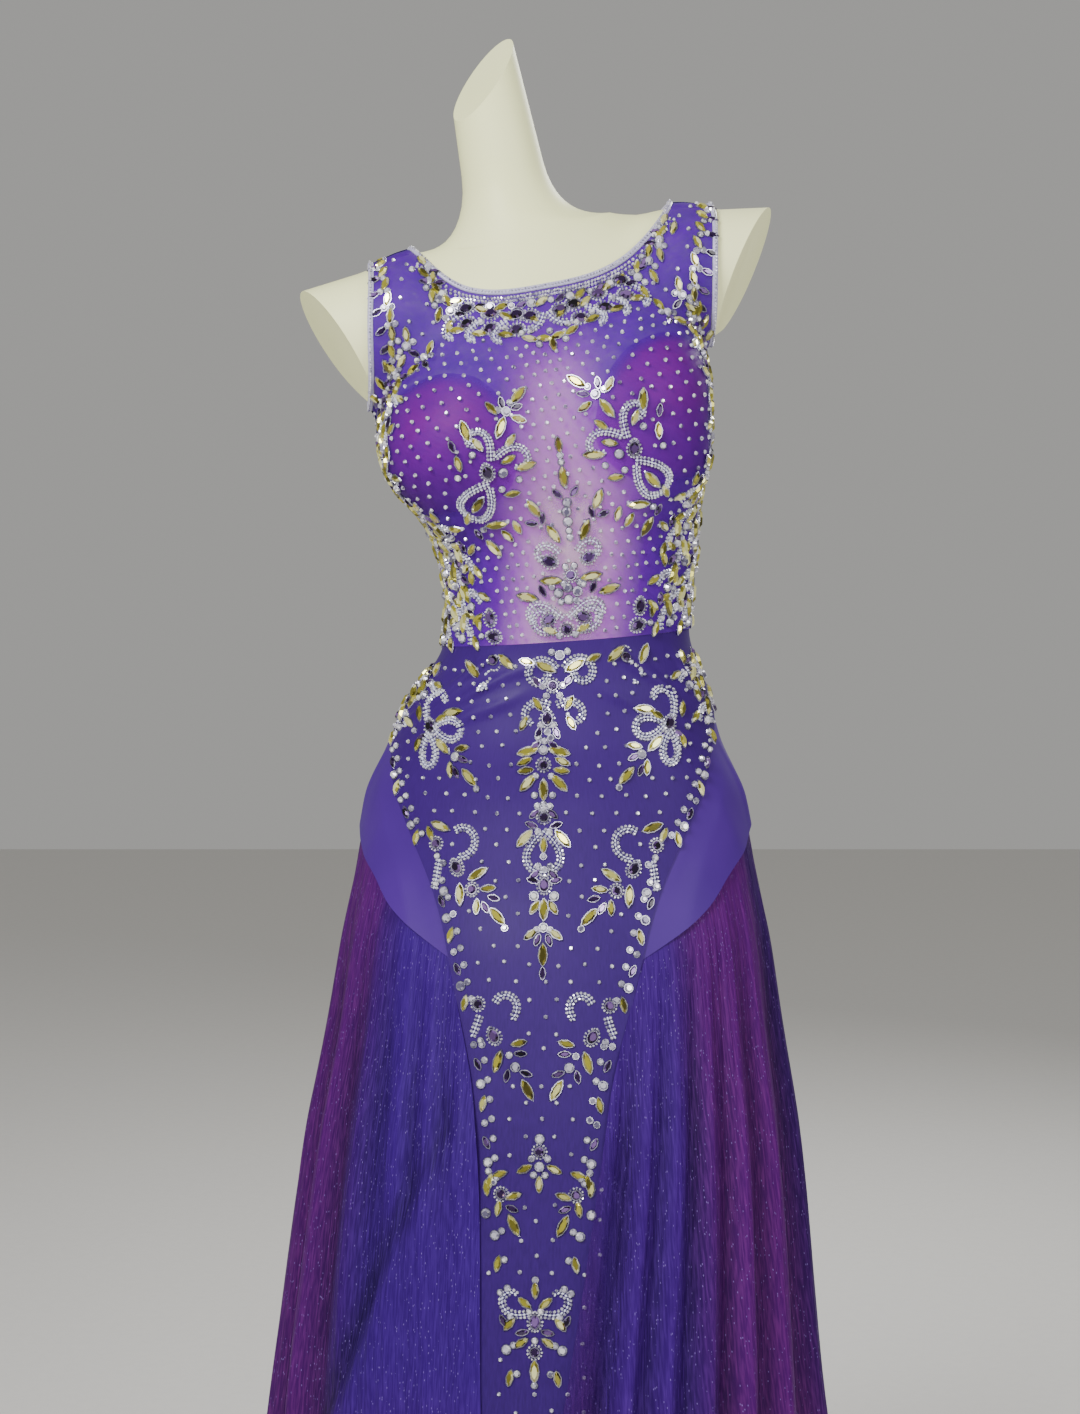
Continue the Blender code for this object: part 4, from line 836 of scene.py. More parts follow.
right = joined(SIDE_BODICE, FRONT_ARM[::-1], SHOULDER_SEAM)
waist = straight((-SIDE_SEAM, WAIST), (SIDE_SEAM, WAIST), 80)
net_edge = joined(waist, right, FRONT_NECK[::-1], mirrored(right))
net_front = add_cloth("net_front", net_edge, on_net, NET_OFF, 0.005)
spread = flat_places(net_front)
away = np.abs(spread[:, 0] / BODY_GIRTH / smooth(PALE_MIDDLE, 1, spread[:, 1]))
warm = np.exp(-(away**PALE_EDGE))
add_value(net_front, "middle", warm * smooth(PALE_MIDDLE, 2, spread[:, 1]))
folded = np.stack([np.abs(spread[:, 0]), spread[:, 1]], axis=1)
cup_flat = cup_edge * np.array([BODY_GIRTH, 1])
depth = clearance(folded, cup_flat) * inside(folded, cup_flat)
add_value(net_front, "stretched", np.clip(depth / CUP_BLEND, 0, 1))
net_front.data.materials.append(lilac_net)
cut_sheet(net_front)
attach(net_front, "root")
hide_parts("bodice_front")

# Bodice backs
# Two pieces of beaded violet satin that meet at the centre back zip.

ZIP_WIDE = 0.0070
ZIP_FOOT = 0.900
SKIRT = (
    # height, half_width, half_depth, middle
    (0.000, 0.274, 0.262, 0.032),
    (0.340, 0.241, 0.222, 0.026),
    (0.600, 0.216, 0.182, 0.021),
    (0.700, 0.202, 0.160, 0.019),
    (0.774, 0.193, 0.141, 0.017),
    (0.838, 0.182, 0.122, 0.016),
    *FIGURE[2:7],
)


def zip_side(heights, across, above_waist):
    """A line beside centre back through some heights."""
    table, column = (FIGURE, 2) if above_waist else (SKIRT, 1)
    reach = smooth(table, column, heights)
    return np.stack([180.0 - np.degrees(across / reach), heights], axis=1)


# Beaded violet satin: a close warp weave with a silky gloss; its threads are drawn 1.4 mm apart so
# that they show, slow clouds of tone are painted shade for the slack of cloth weighed down by stones,
# and a painted shade darkens it from the hips to the hem, where the light from above falls off
beaded_satin = new_material("beaded_violet_satin")
place = add_node(beaded_satin, "UVMap", uv_map="cut").outputs[0]
stretch = add_node(beaded_satin, "Mapping", {"Vector": place, "Scale": (700, 90, 1)})
warp = add_node(beaded_satin, "TexNoise", {"Vector": stretch.outputs[0], "Scale": 1, "Detail": 3})
# Slow clouds of tone, painted as the shade of slack cloth weighed down by stones
cloud = add_node(beaded_satin, "TexNoise", {"Vector": place, "Scale": 14, "Detail": 2})
tone = add_node(
    beaded_satin, "Mix", {0: cloud.outputs["Fac"], 6: "26084E", 7: "38146A"}, data_type="RGBA"
)
# Painted shade: darker from the hips down to the hem, for the light falling off below
height = add_node(beaded_satin, "SeparateXYZ", {"Vector": place}).outputs["Y"]
deep = add_node(beaded_satin, "MapRange", {"Value": height, 1: 0.98, 2: 0.60, 3: 0.0, 4: 0.42})
painted_hem_shade = add_node(
    beaded_satin, "Mix", {0: deep.outputs[0], 6: tone.outputs[2], 7: "120438"}, data_type="RGBA"
)
finish(
    beaded_satin, warp.outputs["Fac"], (painted_hem_shade.outputs[2], "3A1870"),
    {"Roughness": 0.46, "Specular IOR Level": 0.18}, (warp.outputs["Fac"], 0.22, 0.0003),
)

# Turned satin edge: the same cloth folded under along a seam, painted dark as the shadow it lies in
edge_in_shadow = new_material("turned_satin_edge")
place = add_node(edge_in_shadow, "TexCoord").outputs["Object"]
crimp = add_node(edge_in_shadow, "TexNoise", {"Vector": place, "Scale": 240, "Detail": 2})
finish(
    edge_in_shadow, crimp.outputs["Fac"], ("120430", "221052"), {"Roughness": 0.8, "Specular IOR Level": 0.1}
)

neck = np.vstack([FRONT_NECK[-1:], BACK_NECK[1:-1]])
centre = zip_side(np.linspace(WAIST, BACK_NECK[-1, 1], 60), ZIP_WIDE / 2, True)
back_edge = joined(
    straight((SIDE_SEAM, WAIST), centre[0], 40),
    centre,
    neck[::-1],
    SHOULDER_SEAM[::-1],
    BACK_ARM[::-1],
    SIDE_BODICE[::-1],
)
for hand, line in both_hands(back_edge):
    back = add_cloth(f"bodice_rear_{hand}", line, on_bodice, NET_OFF)
    cut_sheet(back)
    make_up(back, CLOTH, beaded_satin, edge_in_shadow)
    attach(back, "root")
    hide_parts(f"bodice_back_{hand}")

# Front panel
# Beaded violet satin, wide over the hips and narrowing to a long strip down the skirt's front; it is
# sewn to the waist seam, and its weight draws a few slanting creases from the waist.

HEM = 0.012
YOKE_OFF = 0.0009
PANEL_OFF = 0.0018
SKIRT_GIRTH = 0.0030
SKIRT_STEP = 0.0044
WING_TOP = 0.985
PANEL_EDGE = (
    # height, left_turn, right_turn, left_hidden, right_hidden
    (0.000, 8.0, -5.0, 7.0, 20.0),
    (0.338, 10.2, 4.0, 6.0, 12.0),
    (0.415, 11.2, 7.0, 5.5, 9.5),
    (0.507, 12.3, 10.4, 5.0, 7.0),
    (0.600, 14.0, 14.0, 4.0, 4.0),
    (0.664, 16.8, 16.8, 2.5, 2.5),
    (0.720, 21.2, 21.2, 0.8, 0.8),
    (0.745, 23.6, 23.6, 0.0, 0.0),
    (0.773, 26.2, 26.2, 0.0, 0.0),
    (0.800, 29.0, 29.0, 0.0, 0.0),
    (0.833, 34.0, 34.0, 0.0, 0.0),
    (0.871, 42.0, 42.0, 0.0, 0.0),
    (0.900, 49.5, 49.5, 0.0, 0.0),
    (0.928, 59.0, 59.0, 0.0, 0.0),
    (0.949, 68.5, 68.5, 0.0, 0.0),
    (0.985, 90.0, 90.0, 0.0, 0.0),
)
PANEL_CREASES = (
    # turn, height, heading, half_length, half_width, depth
    (-40.0, 1.028, 208.0, 0.030, 0.0042, 0.0038),
    (-30.0, 1.012, 204.0, 0.034, 0.0046, 0.0035),
    (-48.0, 1.006, 214.0, 0.026, 0.0042, 0.0032),
    (-22.0, 0.994, 200.0, 0.030, 0.0050, 0.0027),
    (-34.0, 0.984, 206.0, 0.026, 0.0046, 0.0024),
    (-14.0, 1.028, 192.0, 0.018, 0.0040, 0.0018),
    (-60.0, 0.990, 222.0, 0.022, 0.0042, 0.0024),
    (34.0, 1.026, -26.0, 0.028, 0.0042, 0.0028),
    (47.0, 1.008, -34.0, 0.028, 0.0044, 0.0032),
    (26.0, 1.000, -22.0, 0.024, 0.0048, 0.0020),
    (64.0, 1.016, -48.0, 0.022, 0.0040, 0.0026),
    (-74.0, 1.014, 230.0, 0.022, 0.0040, 0.0022),
    (4.0, 0.690, 88.0, 0.080, 0.0080, 0.0009),
    (-5.0, 0.470, 92.0, 0.110, 0.0090, 0.0012),
    (3.0, 0.260, 90.0, 0.120, 0.0100, 0.0014),
)


def on_skirt(turn, height, off):
    """Points that far outside the gown's smooth shape below the waist, in its stance."""
    turn, height, off = np.broadcast_arrays(
        np.radians(np.atleast_1d(turn)), np.atleast_1d(height), np.atleast_1d(off)
    )
    width, depth = smooth(SKIRT, 1, height), smooth(SKIRT, 2, height)
    normal_x, normal_y = np.sin(turn) / width, -np.cos(turn) / depth
    length = np.hypot(normal_x, normal_y)
    x = width * np.sin(turn) + off * normal_x / length
    y = smooth(SKIRT, 3, height) - depth * np.cos(turn) + off * normal_y / length
    return stand(np.stack([x, y, height], axis=1))


def creased(table, base):
    """A cloth's lift at places: soft ridges from a table, over an even base."""

    def lift(turn, height):
        total = np.full(len(turn), base)
        for at_turn, at_height, heading, long, wide, depth in table:
            x = (turn - at_turn) * SKIRT_GIRTH
            y = height - at_height
            way = math.radians(heading)
            along = x * math.cos(way) + y * math.sin(way)
            across = y * math.cos(way) - x * math.sin(way)
            total = total + depth * np.exp(-((along / long) ** 2) - (across / wide) ** 2)
        return total

    return lift


def parting(height, side):
    """Turn of the front panel's seen edge, left for -1 and right for 1."""
    return smooth(PANEL_EDGE, 1 if side < 0 else 2, height)


def panel_turn(height, side):
    """Turn of the front panel's own edge, part of it under the tulle."""
    return parting(height, side) + smooth(PANEL_EDGE, 3 if side < 0 else 4, height)


PANEL_HEIGHTS = np.concatenate([np.linspace(HEM, 0.72, 90), np.linspace(0.725, WING_TOP, 60)])
SIDE_BASQUE = straight((SIDE_SEAM, WING_TOP), (SIDE_SEAM, WAIST), 14)

right = np.stack([panel_turn(PANEL_HEIGHTS, 1), PANEL_HEIGHTS], axis=1)
left = np.stack([-panel_turn(PANEL_HEIGHTS, -1), PANEL_HEIGHTS], axis=1)
panel_edge = joined(
    straight(left[0], right[0], 14),
    right,
    SIDE_BASQUE,
    straight((SIDE_SEAM, WAIST), (-SIDE_SEAM, WAIST), 90),
    mirrored(SIDE_BASQUE),
    left[::-1],
)
panel_lift = creased(PANEL_CREASES, PANEL_OFF)
panel = add_cloth("beaded_panel", panel_edge, on_skirt, panel_lift, SKIRT_STEP, SKIRT_GIRTH)
cut_sheet(panel)
make_up(panel, CLOTH, beaded_satin, edge_in_shadow)
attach(panel, "root")
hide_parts("front_panel")

# Satin hip yoke
# Two wings of plain violet duchess satin beside the panel's point and two pieces across the back. The
# wings' lower edges are turned under and stand a little free of the tulle.

POINT_HEIGHT = 0.772
SIDE_HEM = 0.883
SLANT_EASE = 0.6
REAR_STEP = 0.0055
YOKE_HEM = (
    # turn, height
    (26.0, 0.772),
    (48.0, 0.811),
    (60.0, 0.838),
    (74.0, 0.861),
    (90.0, SIDE_HEM),
    (115.0, 0.893),
    (180.0, 0.897),
)
WING_CREASES = (
    # turn, height, heading, half_length, half_width, depth
    (84.0, 0.915, 100.0, 0.046, 0.0085, 0.0022),
    (66.0, 0.880, 128.0, 0.046, 0.0150, 0.0016),
    (47.0, 0.836, 150.0, 0.050, 0.0190, 0.0010),
    (-80.0, 0.925, 72.0, 0.046, 0.0090, 0.0017),
    (-60.0, 0.872, 44.0, 0.046, 0.0150, 0.0016),
    (-43.0, 0.828, 32.0, 0.050, 0.0190, 0.0010),
    (112.0, 0.952, 118.0, 0.050, 0.0095, 0.0020),
    (131.0, 0.968, 142.0, 0.046, 0.0080, 0.0019),
    (152.0, 0.946, 154.0, 0.052, 0.0085, 0.0017),
    (166.0, 1.008, 166.0, 0.034, 0.0065, 0.0016),
    (146.0, 1.020, 150.0, 0.030, 0.0060, 0.0015),
    (-118.0, 0.945, 60.0, 0.050, 0.0095, 0.0020),
    (-138.0, 0.972, 36.0, 0.048, 0.0080, 0.0019),
    (-158.0, 0.938, 28.0, 0.046, 0.0085, 0.0016),
    (-164.0, 1.012, 20.0, 0.034, 0.0065, 0.0016),
    (-140.0, 1.026, 32.0, 0.030, 0.0060, 0.0014),
)
FLARE = 0.0024
FLARE_FALL = 0.030
FLARE_TURN = 12.0
FLARE_SHAPE = 1.5
CREASE_LEAST = 0.3


def yoke_hem(turn):
    """Height of the yoke's lower edge at a turn from centre front."""
    return smooth(YOKE_HEM, 1, np.abs(turn))


def wing_lift(turn, height):
    """The yoke's lift: creases, and a flare that grows towards its free lower edge."""
    near = np.exp(-np.maximum(height - yoke_hem(turn), 0) / FLARE_FALL)
    beside = np.clip((np.abs(turn) - parting(height, 1)) / FLARE_TURN, 0, 1) ** FLARE_SHAPE
    creases = creased(WING_CREASES, YOKE_OFF)(turn, height)
    return creases * beside.clip(CREASE_LEAST, 1) + FLARE * near * beside


# Violet duchess satin: thick, close and softly lustrous, lighter where it rounds to the light
violet_satin = new_material("violet_duchess_satin")
place = add_node(violet_satin, "UVMap", uv_map="cut").outputs[0]
stretch = add_node(violet_satin, "Mapping", {"Vector": place, "Scale": (620, 160, 1)})
weft = add_node(violet_satin, "TexNoise", {"Vector": stretch.outputs[0], "Scale": 1, "Detail": 2})
cloud = add_node(violet_satin, "TexNoise", {"Vector": place, "Scale": 10, "Detail": 2})
finish(
    violet_satin, cloud.outputs["Fac"], ("381270", "4C1F88"),
    {"Roughness": 0.48, "Specular IOR Level": 0.28}, (weft.outputs["Fac"], 0.15, 0.0003),
)

SIDE_YOKE = straight((SIDE_SEAM, SIDE_HEM), (SIDE_SEAM, WING_TOP), 20)
slant_heights = np.linspace(POINT_HEIGHT, WING_TOP, 50)
slant = np.stack([panel_turn(slant_heights, 1), slant_heights], axis=1)
slant[:, 0] -= SLANT_EASE * np.sin(np.linspace(0, math.pi, 50))
hem_turns = np.linspace(slant[0, 0], SIDE_SEAM, 50)
wing_outline = joined(np.stack([hem_turns, yoke_hem(hem_turns)], axis=1), SIDE_YOKE, slant[::-1])
for hand, line in both_hands(wing_outline):
    wing = add_cloth(f"satin_wing_{hand}", line, on_skirt, wing_lift, SKIRT_STEP, SKIRT_GIRTH)
    cut_sheet(wing)
    make_up(wing, CLOTH, violet_satin, edge_in_shadow)
    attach(wing, "root")
    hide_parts(f"hip_wing_{hand}")

centre = zip_side(np.linspace(ZIP_FOOT, WAIST, 30), ZIP_WIDE / 2, False)
hem_turns = np.linspace(SIDE_SEAM, 179.9, 50)
basque_outline = joined(
    np.stack([hem_turns, yoke_hem(hem_turns)], axis=1),
    centre,
    straight(centre[-1], (SIDE_SEAM, WAIST), 40),
    SIDE_BASQUE[::-1],
    SIDE_YOKE[::-1],
)
for hand, line in both_hands(basque_outline):
    basque = add_cloth(f"satin_rear_{hand}", line, on_skirt, wing_lift, REAR_STEP, SKIRT_GIRTH)
    cut_sheet(basque)
    make_up(basque, CLOTH, violet_satin, edge_in_shadow)
    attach(basque, "root")
    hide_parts(f"basque_back_{hand}")

# Tulle skirt
# Six gores of glitter tulle gathered under the yoke, blue-violet in front and behind and magenta at the
# sides. Soft folds deepen towards the hem, with finer gathers between them, and one drag fold runs
# down from the panel's left edge.

FOLDS = (
    # left_at_yoke, left_at_hem, right_at_yoke, right_at_hem, deep
    (22.0, 3.0, 20.0, -3.0, 0.6),
    (31.0, 13.5, 29.0, 8.0, 0.8),
    (39.0, 25.0, 37.0, 18.5, 0.8),
    (50.0, 45.0, 46.0, 30.0, 0.9),
    (64.0, 63.0, 56.0, 42.0, 1.0),
    (80.0, 80.0, 68.0, 56.0, 1.0),
    (98.0, 98.0, 84.0, 74.0, 1.1),
    (117.0, 117.0, 105.0, 98.0, 0.9),
    (138.0, 138.0, 130.0, 126.0, 1.1),
    (159.0, 159.0, 155.0, 153.0, 1.0),
    (180.0, 180.0, 180.0, 180.0, 1.0),
    (201.0, 201.0, 205.0, 205.0, 1.0),
)
FOLD_DEPTH = (
    # fall below the yoke, depth
    (0.000, 0.0000),
    (0.030, 0.0010),
    (0.120, 0.0050),
    (0.260, 0.0110),
    (0.500, 0.0180),
    (0.880, 0.0300),
)
LIFT = (
    # fall below the yoke, height off the shape, depth of the fine gathers
    (-0.012, 0.0002, 0.0000),
    (0.000, 0.0009, 0.0002),
    (0.026, 0.0026, 0.0004),
    (0.060, 0.0032, 0.0005),
    (0.300, 0.0038, 0.0008),
    (0.880, 0.0044, 0.0014),
)
GORES = (
    # place, from_turn, to_turn, slot
    ("front", 0.0, 58.0, "blue_tulle"),
    ("side", 58.0, 122.0, "magenta_tulle"),
    ("back", 122.0, 180.0, "blue_tulle"),
)
BANDS_LEFT = (
    # turn, share of magenta, share of shade
    (0.0, 0.10, 0.30),
    (22.0, 0.14, 0.10),
    (40.0, 0.14, 0.00),
    (50.0, 0.40, 0.35),
    (56.0, 0.85, 0.15),
    (72.0, 1.00, 0.10),
    (84.0, 0.95, 0.20),
    (104.0, 0.90, 0.00),
    (122.0, 0.45, 0.30),
    (140.0, 0.05, 0.00),
    (180.0, 0.05, 0.10),
)
BANDS_RIGHT = (
    # turn, share of magenta, share of shade
    (-8.0, 0.55, 0.20),
    (10.0, 0.55, 0.20),
    (16.0, 0.22, 0.00),
    (32.0, 0.24, 0.00),
    (39.0, 0.60, 0.25),
    (44.0, 0.90, 0.05),
    (58.0, 1.00, 0.00),
    (72.0, 0.95, 0.05),
    (80.0, 0.40, 0.55),
    (90.0, 0.75, 0.45),
    (110.0, 0.90, 0.05),
    (124.0, 0.30, 0.30),
    (140.0, 0.05, 0.00),
    (180.0, 0.05, 0.10),
)
DRAG_FOLD = (
    # height, turn on the left side, depth
    (0.012, 64.0, 0.0060),
    (0.300, 50.0, 0.0100),
    (0.400, 41.0, 0.0108),
    (0.500, 32.5, 0.0100),
    (0.560, 26.5, 0.0080),
    (0.610, 20.5, 0.0048),
    (0.640, 16.0, 0.0016),
    (0.664, 12.0, 0.0000),
)
# The drag fold: how wide its sides are, the depth that counts as full, how far it flattens what it runs over
# and clears its painted shade, so that side reads as lit, and how dark the painted shadow at its outer foot
# is and how far out that lies
DRAG_INNER = 9.0
DRAG_OUTER = 3.6
DRAG_FULL = 0.0100
DRAG_FLATTENS = 0.8
DRAG_CLEARS_SHADE = 0.85
DRAG_SHADE = 0.62
DRAG_FOOT = 1.4
# Other folds: how sharp, how deep the gathers are, and how dark a valley gets, from what fall
FOLD_SHARP = 1.25
FOLD_RUN = 0.80
GATHER_SHARE = 0.6
VALLEY_SHADE = 0.5
VALLEY_FALL = 0.15
# Below a height the tulle turns redder and darker, over a depth
LOW_FALL = (0.42, 0.26)
LOW_MAGENTA = 0.20
LOW_SHADE = 0.16
TULLE_GIRTH = 0.0046
GORE_TUCK = 0.010
GORE_COLUMNS = 130
GORE_ROWS = 110
ROW_CROWDING = 1.15
SEE_THROUGH_TURN = 12.0
SEE_THROUGH_TOP = 0.66
SEE_THROUGH_FADE = 0.10


def fold_number(turn, fall, side):
    """Which fold a place lies on, counted from the parting, a crest at each whole number."""
    share = np.clip(fall / FOLD_RUN, 0, 1)[:, None]
    yoke, hem = (0, 1) if side < 0 else (2, 3)
    table = np.array(FOLDS)
    crests = table[:, yoke] + (table[:, hem] - table[:, yoke]) * share
    i = np.clip((turn[:, None] >= crests).sum(axis=1) - 1, 0, len(FOLDS) - 2)
    rows = np.arange(len(turn))
    first, last = crests[rows, i], crests[rows, i + 1]
    return np.clip(i + (turn - first) / (last - first), 0, len(FOLDS) - 1)


def tulle_lift(turn, height, side):
    """How far the tulle stands off the gown's smooth shape."""
    fall = yoke_hem(turn) - height
    number = fold_number(turn, fall, side)
    deep = np.interp(number, range(len(FOLDS)), [row[4] for row in FOLDS])
    wave = 0.5 + 0.5 * np.cos(2 * math.pi * number)
    depth = smooth(FOLD_DEPTH, 1, fall) * deep
    wander = 0.35 * np.sin(7 * height + 1.7 * number) + 0.2 * np.sin(19 * height - number)
    gathers = np.cos(2 * math.pi * (3 * number + wander))
    gathers = gathers + 0.6 * np.cos(2 * math.pi * (7 * number - wander))
    folds = depth * wave**FOLD_SHARP
    lift = smooth(LIFT, 1, fall) + folds + smooth(LIFT, 2, fall) * gathers * GATHER_SHARE
    if side < 0:
        beside, reach, calm = drag(turn, height)
        lift = lift - DRAG_FLATTENS * calm * folds + reach * np.exp(-(beside**2))
    return lift


def drag(turn, height):
    """A place's distance from the drag fold's crest, the fold's depth there and how far it calms the rest."""
    beyond = turn - smooth(DRAG_FOLD, 1, height)
    reach = smooth(DRAG_FOLD, 2, height) * (height < DRAG_FOLD[-1][0])
    beside = beyond / np.where(beyond < 0, DRAG_INNER, DRAG_OUTER)
    calm = np.clip(reach / DRAG_FULL, 0, 1) * np.where(beside < 0, 1, np.exp(-((beside / 3) ** 2)))
    return beside, reach, calm


def add_gore(name, start, end, side):
    """One gore as an even grid, with its UVs in metres of tulle and its colour bands."""
    rows = np.linspace(0, 1, GORE_ROWS) ** ROW_CROWDING
    columns = np.linspace(0, 1, GORE_COLUMNS)
    near = float(parting(POINT_HEIGHT, side)) if start == 0 else start
    points, flat, magenta, shade, cover = [], [], [], [], []
    bands = BANDS_LEFT if side < 0 else BANDS_RIGHT
    for share in rows:
        top = yoke_hem(near + (end - near) * columns) + GORE_TUCK
        height = top + (HEM - top) * share
        first = parting(height, side) if start == 0 else start
        turn = first + (end - first) * columns
        lift = tulle_lift(turn, height, side)
        points.append(on_skirt(side * turn, height, lift))
        flat.append(np.stack([side * turn * TULLE_GIRTH, height], axis=1))
        low = np.clip((LOW_FALL[0] - height) / LOW_FALL[1], 0, 1)
        magenta.append(np.clip(smooth(bands, 1, turn) + LOW_MAGENTA * low, 0, 1))
        fall = yoke_hem(turn) - height
        dip = 0.5 - 0.5 * np.cos(2 * math.pi * fold_number(turn, fall, side))
        dark = smooth(bands, 2, turn) + VALLEY_SHADE * dip * np.clip(fall / VALLEY_FALL, 0, 1)
        dark = dark + LOW_SHADE * low
        if side < 0:
            # Painted light and shadow of the drag fold: its painted shade is cleared on the lit inner side,
            # and a painted shadow lies along its outer foot
            beside, reach, calm = drag(turn, height)
            foot = reach / DRAG_FULL * np.exp(-((beside - DRAG_FOOT) ** 2))
            dark = dark * (1 - DRAG_CLEARS_SHADE * calm) + DRAG_SHADE * foot
        shade.append(np.clip(dark, 0, 1))
        within = (turn - parting(height, side)) / SEE_THROUGH_TURN
        see = np.clip(1 - within, 0, 1) if start == 0 and side > 0 else 0 * turn
        cover.append(see * np.clip((SEE_THROUGH_TOP - height) / SEE_THROUGH_FADE, 0, 1))
    points = np.vstack(points)
    faces = []
    for row in range(GORE_ROWS - 1):
        for column in range(GORE_COLUMNS - 1):
            a = row * GORE_COLUMNS + column
            quad = (a, a + GORE_COLUMNS, a + GORE_COLUMNS + 1, a + 1)
            faces.append(quad if side > 0 else quad[::-1])
    made = add_object(name, points, faces)
    add_uv(made, np.vstack(flat))
    add_value(made, "magenta", np.concatenate(magenta))
    add_value(made, "shade", np.concatenate(shade))
    add_value(made, "see_through", np.concatenate(cover))
    return made


# Glitter tulle: sheer nylon over its own lining, printed with fine broken lines of glitter that run down
# the cloth; the lines are drawn 2 mm apart and the flakes 1 by 2 mm, coarse enough to show
glitter_tulle = new_material("glitter_tulle")
place = add_node(glitter_tulle, "UVMap", uv_map="cut").outputs[0]
magenta = add_node(glitter_tulle, "Attribute", attribute_name="magenta").outputs["Fac"]
shade = add_node(glitter_tulle, "Attribute", attribute_name="shade").outputs["Fac"]
see = add_node(glitter_tulle, "Attribute", attribute_name="see_through").outputs["Fac"]
dye = add_node(glitter_tulle, "Mix", {0: magenta, 6: "2A0668", 7: "46045E"}, data_type="RGBA")
shaded = add_node(glitter_tulle, "Mix", {0: shade, 6: dye.outputs[2], 7: "0C0424"}, data_type="RGBA")
lines = add_node(glitter_tulle, "Mapping", {"Vector": place, "Scale": (560, 24, 1)})
streak = add_node(glitter_tulle, "TexNoise", {"Vector": lines.outputs[0], "Scale": 1, "Detail": 1})
slanted = add_node(
    glitter_tulle, "Mapping", {"Vector": place, "Rotation": (0, 0, 0.20), "Scale": (620, 60, 1)}
)
herring = add_node(glitter_tulle, "TexNoise", {"Vector": slanted.outputs[0], "Scale": 1, "Detail": 1})
both = add_node(
    glitter_tulle, "Math", {0: streak.outputs["Fac"], 1: herring.outputs["Fac"]}, operation="ADD"
)
line_share = add_node(
    glitter_tulle, "MapRange", {"Value": both.outputs[0], 1: 0.85, 2: 1.35, 3: 0.0, 4: 0.13}
)
glint = add_node(glitter_tulle, "Mix", {0: magenta, 6: "6A48D8", 7: "B850B8"}, data_type="RGBA")
lined = add_node(
    glitter_tulle, "Mix", {0: line_share.outputs[0], 6: shaded.outputs[2], 7: glint.outputs[2]},
    data_type="RGBA",
)
drawn = add_node(glitter_tulle, "Mapping", {"Vector": place, "Scale": (820, 330, 1)})
flakes = add_node(glitter_tulle, "TexVoronoi", {"Vector": drawn.outputs[0], "Scale": 1})
near = add_node(glitter_tulle, "Math", {0: flakes.outputs["Distance"], 1: 0.30}, operation="LESS_THAN")
chance = add_node(glitter_tulle, "SeparateColor", {"Color": flakes.outputs["Color"]})
chosen = add_node(glitter_tulle, "Math", {0: chance.outputs[0], 1: 0.90}, operation="GREATER_THAN")
flake = add_node(glitter_tulle, "Math", {0: near.outputs[0], 1: chosen.outputs[0]}, operation="MULTIPLY")
flake_share = add_node(glitter_tulle, "Math", {0: flake.outputs[0], 1: 0.27}, operation="MULTIPLY")
rough = add_node(glitter_tulle, "MapRange", {"Value": flake.outputs[0], 3: 0.55, 4: 0.22})
veil = add_node(glitter_tulle, "MapRange", {"Value": see, 3: 1.0, 4: 0.42})
finish(
    glitter_tulle, flake_share.outputs[0], (lined.outputs[2], "B49CF0"),
    {"Roughness": rough.outputs[0], "Specular IOR Level": 0.12, "Alpha": veil.outputs[0]},
    (both.outputs[0], 0.04, 0.0003),
)

for side, hand in ((1, "right"), (-1, "left")):
    for part, start, end, slot in GORES:
        gore = add_gore(f"tulle_{part}_{hand}", start, end, side)
        cut_sheet(gore)
        gore.data.materials.append(glitter_tulle)
        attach(gore, "root")
        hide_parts(f"skirt_{part}_{hand}")

# Bindings
# Narrow bias bindings of silver-lilac satin, folded over the net's edge at the neck and both armholes.

BINDING_WIDE = 0.0052
BINDING_THICK = 0.0030
BINDING_OFF = NET_OFF + 0.0005
BINDING_SIDES = 12


def add_binding(name, line, towards, closed):
    """A rounded band along an edge, on the side towards a point, and the line of its crown for beads."""
    line = np.asarray(line)
    centre = on_bodice(line[:, 0], line[:, 1], np.full(len(line), BINDING_OFF))
    above = on_bodice(line[:, 0], line[:, 1], np.full(len(line), BINDING_OFF + 0.001))
    ahead = np.gradient(centre, axis=0)
    if closed:
        ahead = np.roll(centre, -1, axis=0) - np.roll(centre, 1, axis=0)
    normal = above - centre
    normal /= np.linalg.norm(normal, axis=1)[:, None]
    ahead /= np.linalg.norm(ahead, axis=1)[:, None]
    beside = np.cross(normal, ahead)
    beside /= np.linalg.norm(beside, axis=1)[:, None]
    if (beside * (stand(np.array([towards])) - centre)).sum() < 0:
        beside = -beside
    middle = centre + beside * BINDING_WIDE / 2
    angles = np.radians(np.arange(BINDING_SIDES) * 360 / BINDING_SIDES)
    rings = [
        middle[i] + np.outer(np.cos(angles) * BINDING_WIDE / 2, beside[i])
        + np.outer(np.sin(angles) * BINDING_THICK / 2, normal[i])
        for i in range(len(line))
    ]
    return add_tube(name, rings, closed), middle + normal * BINDING_THICK / 2, normal, ahead


# Silver-lilac bias satin: a tight narrow band with a pearly gloss and small pleats from its turns
silver_satin = new_material("silver_bias_satin")
place = add_node(silver_satin, "TexCoord").outputs["Object"]
pleat = add_node(silver_satin, "TexNoise", {"Vector": place, "Scale": 420, "Detail": 2})
finish(
    silver_satin, pleat.outputs["Fac"], ("8E88B8", "CFCBE2"), {"Roughness": 0.35, "Sheen Weight": 0.3},
    (pleat.outputs["Fac"], 0.4, 0.0005),
)

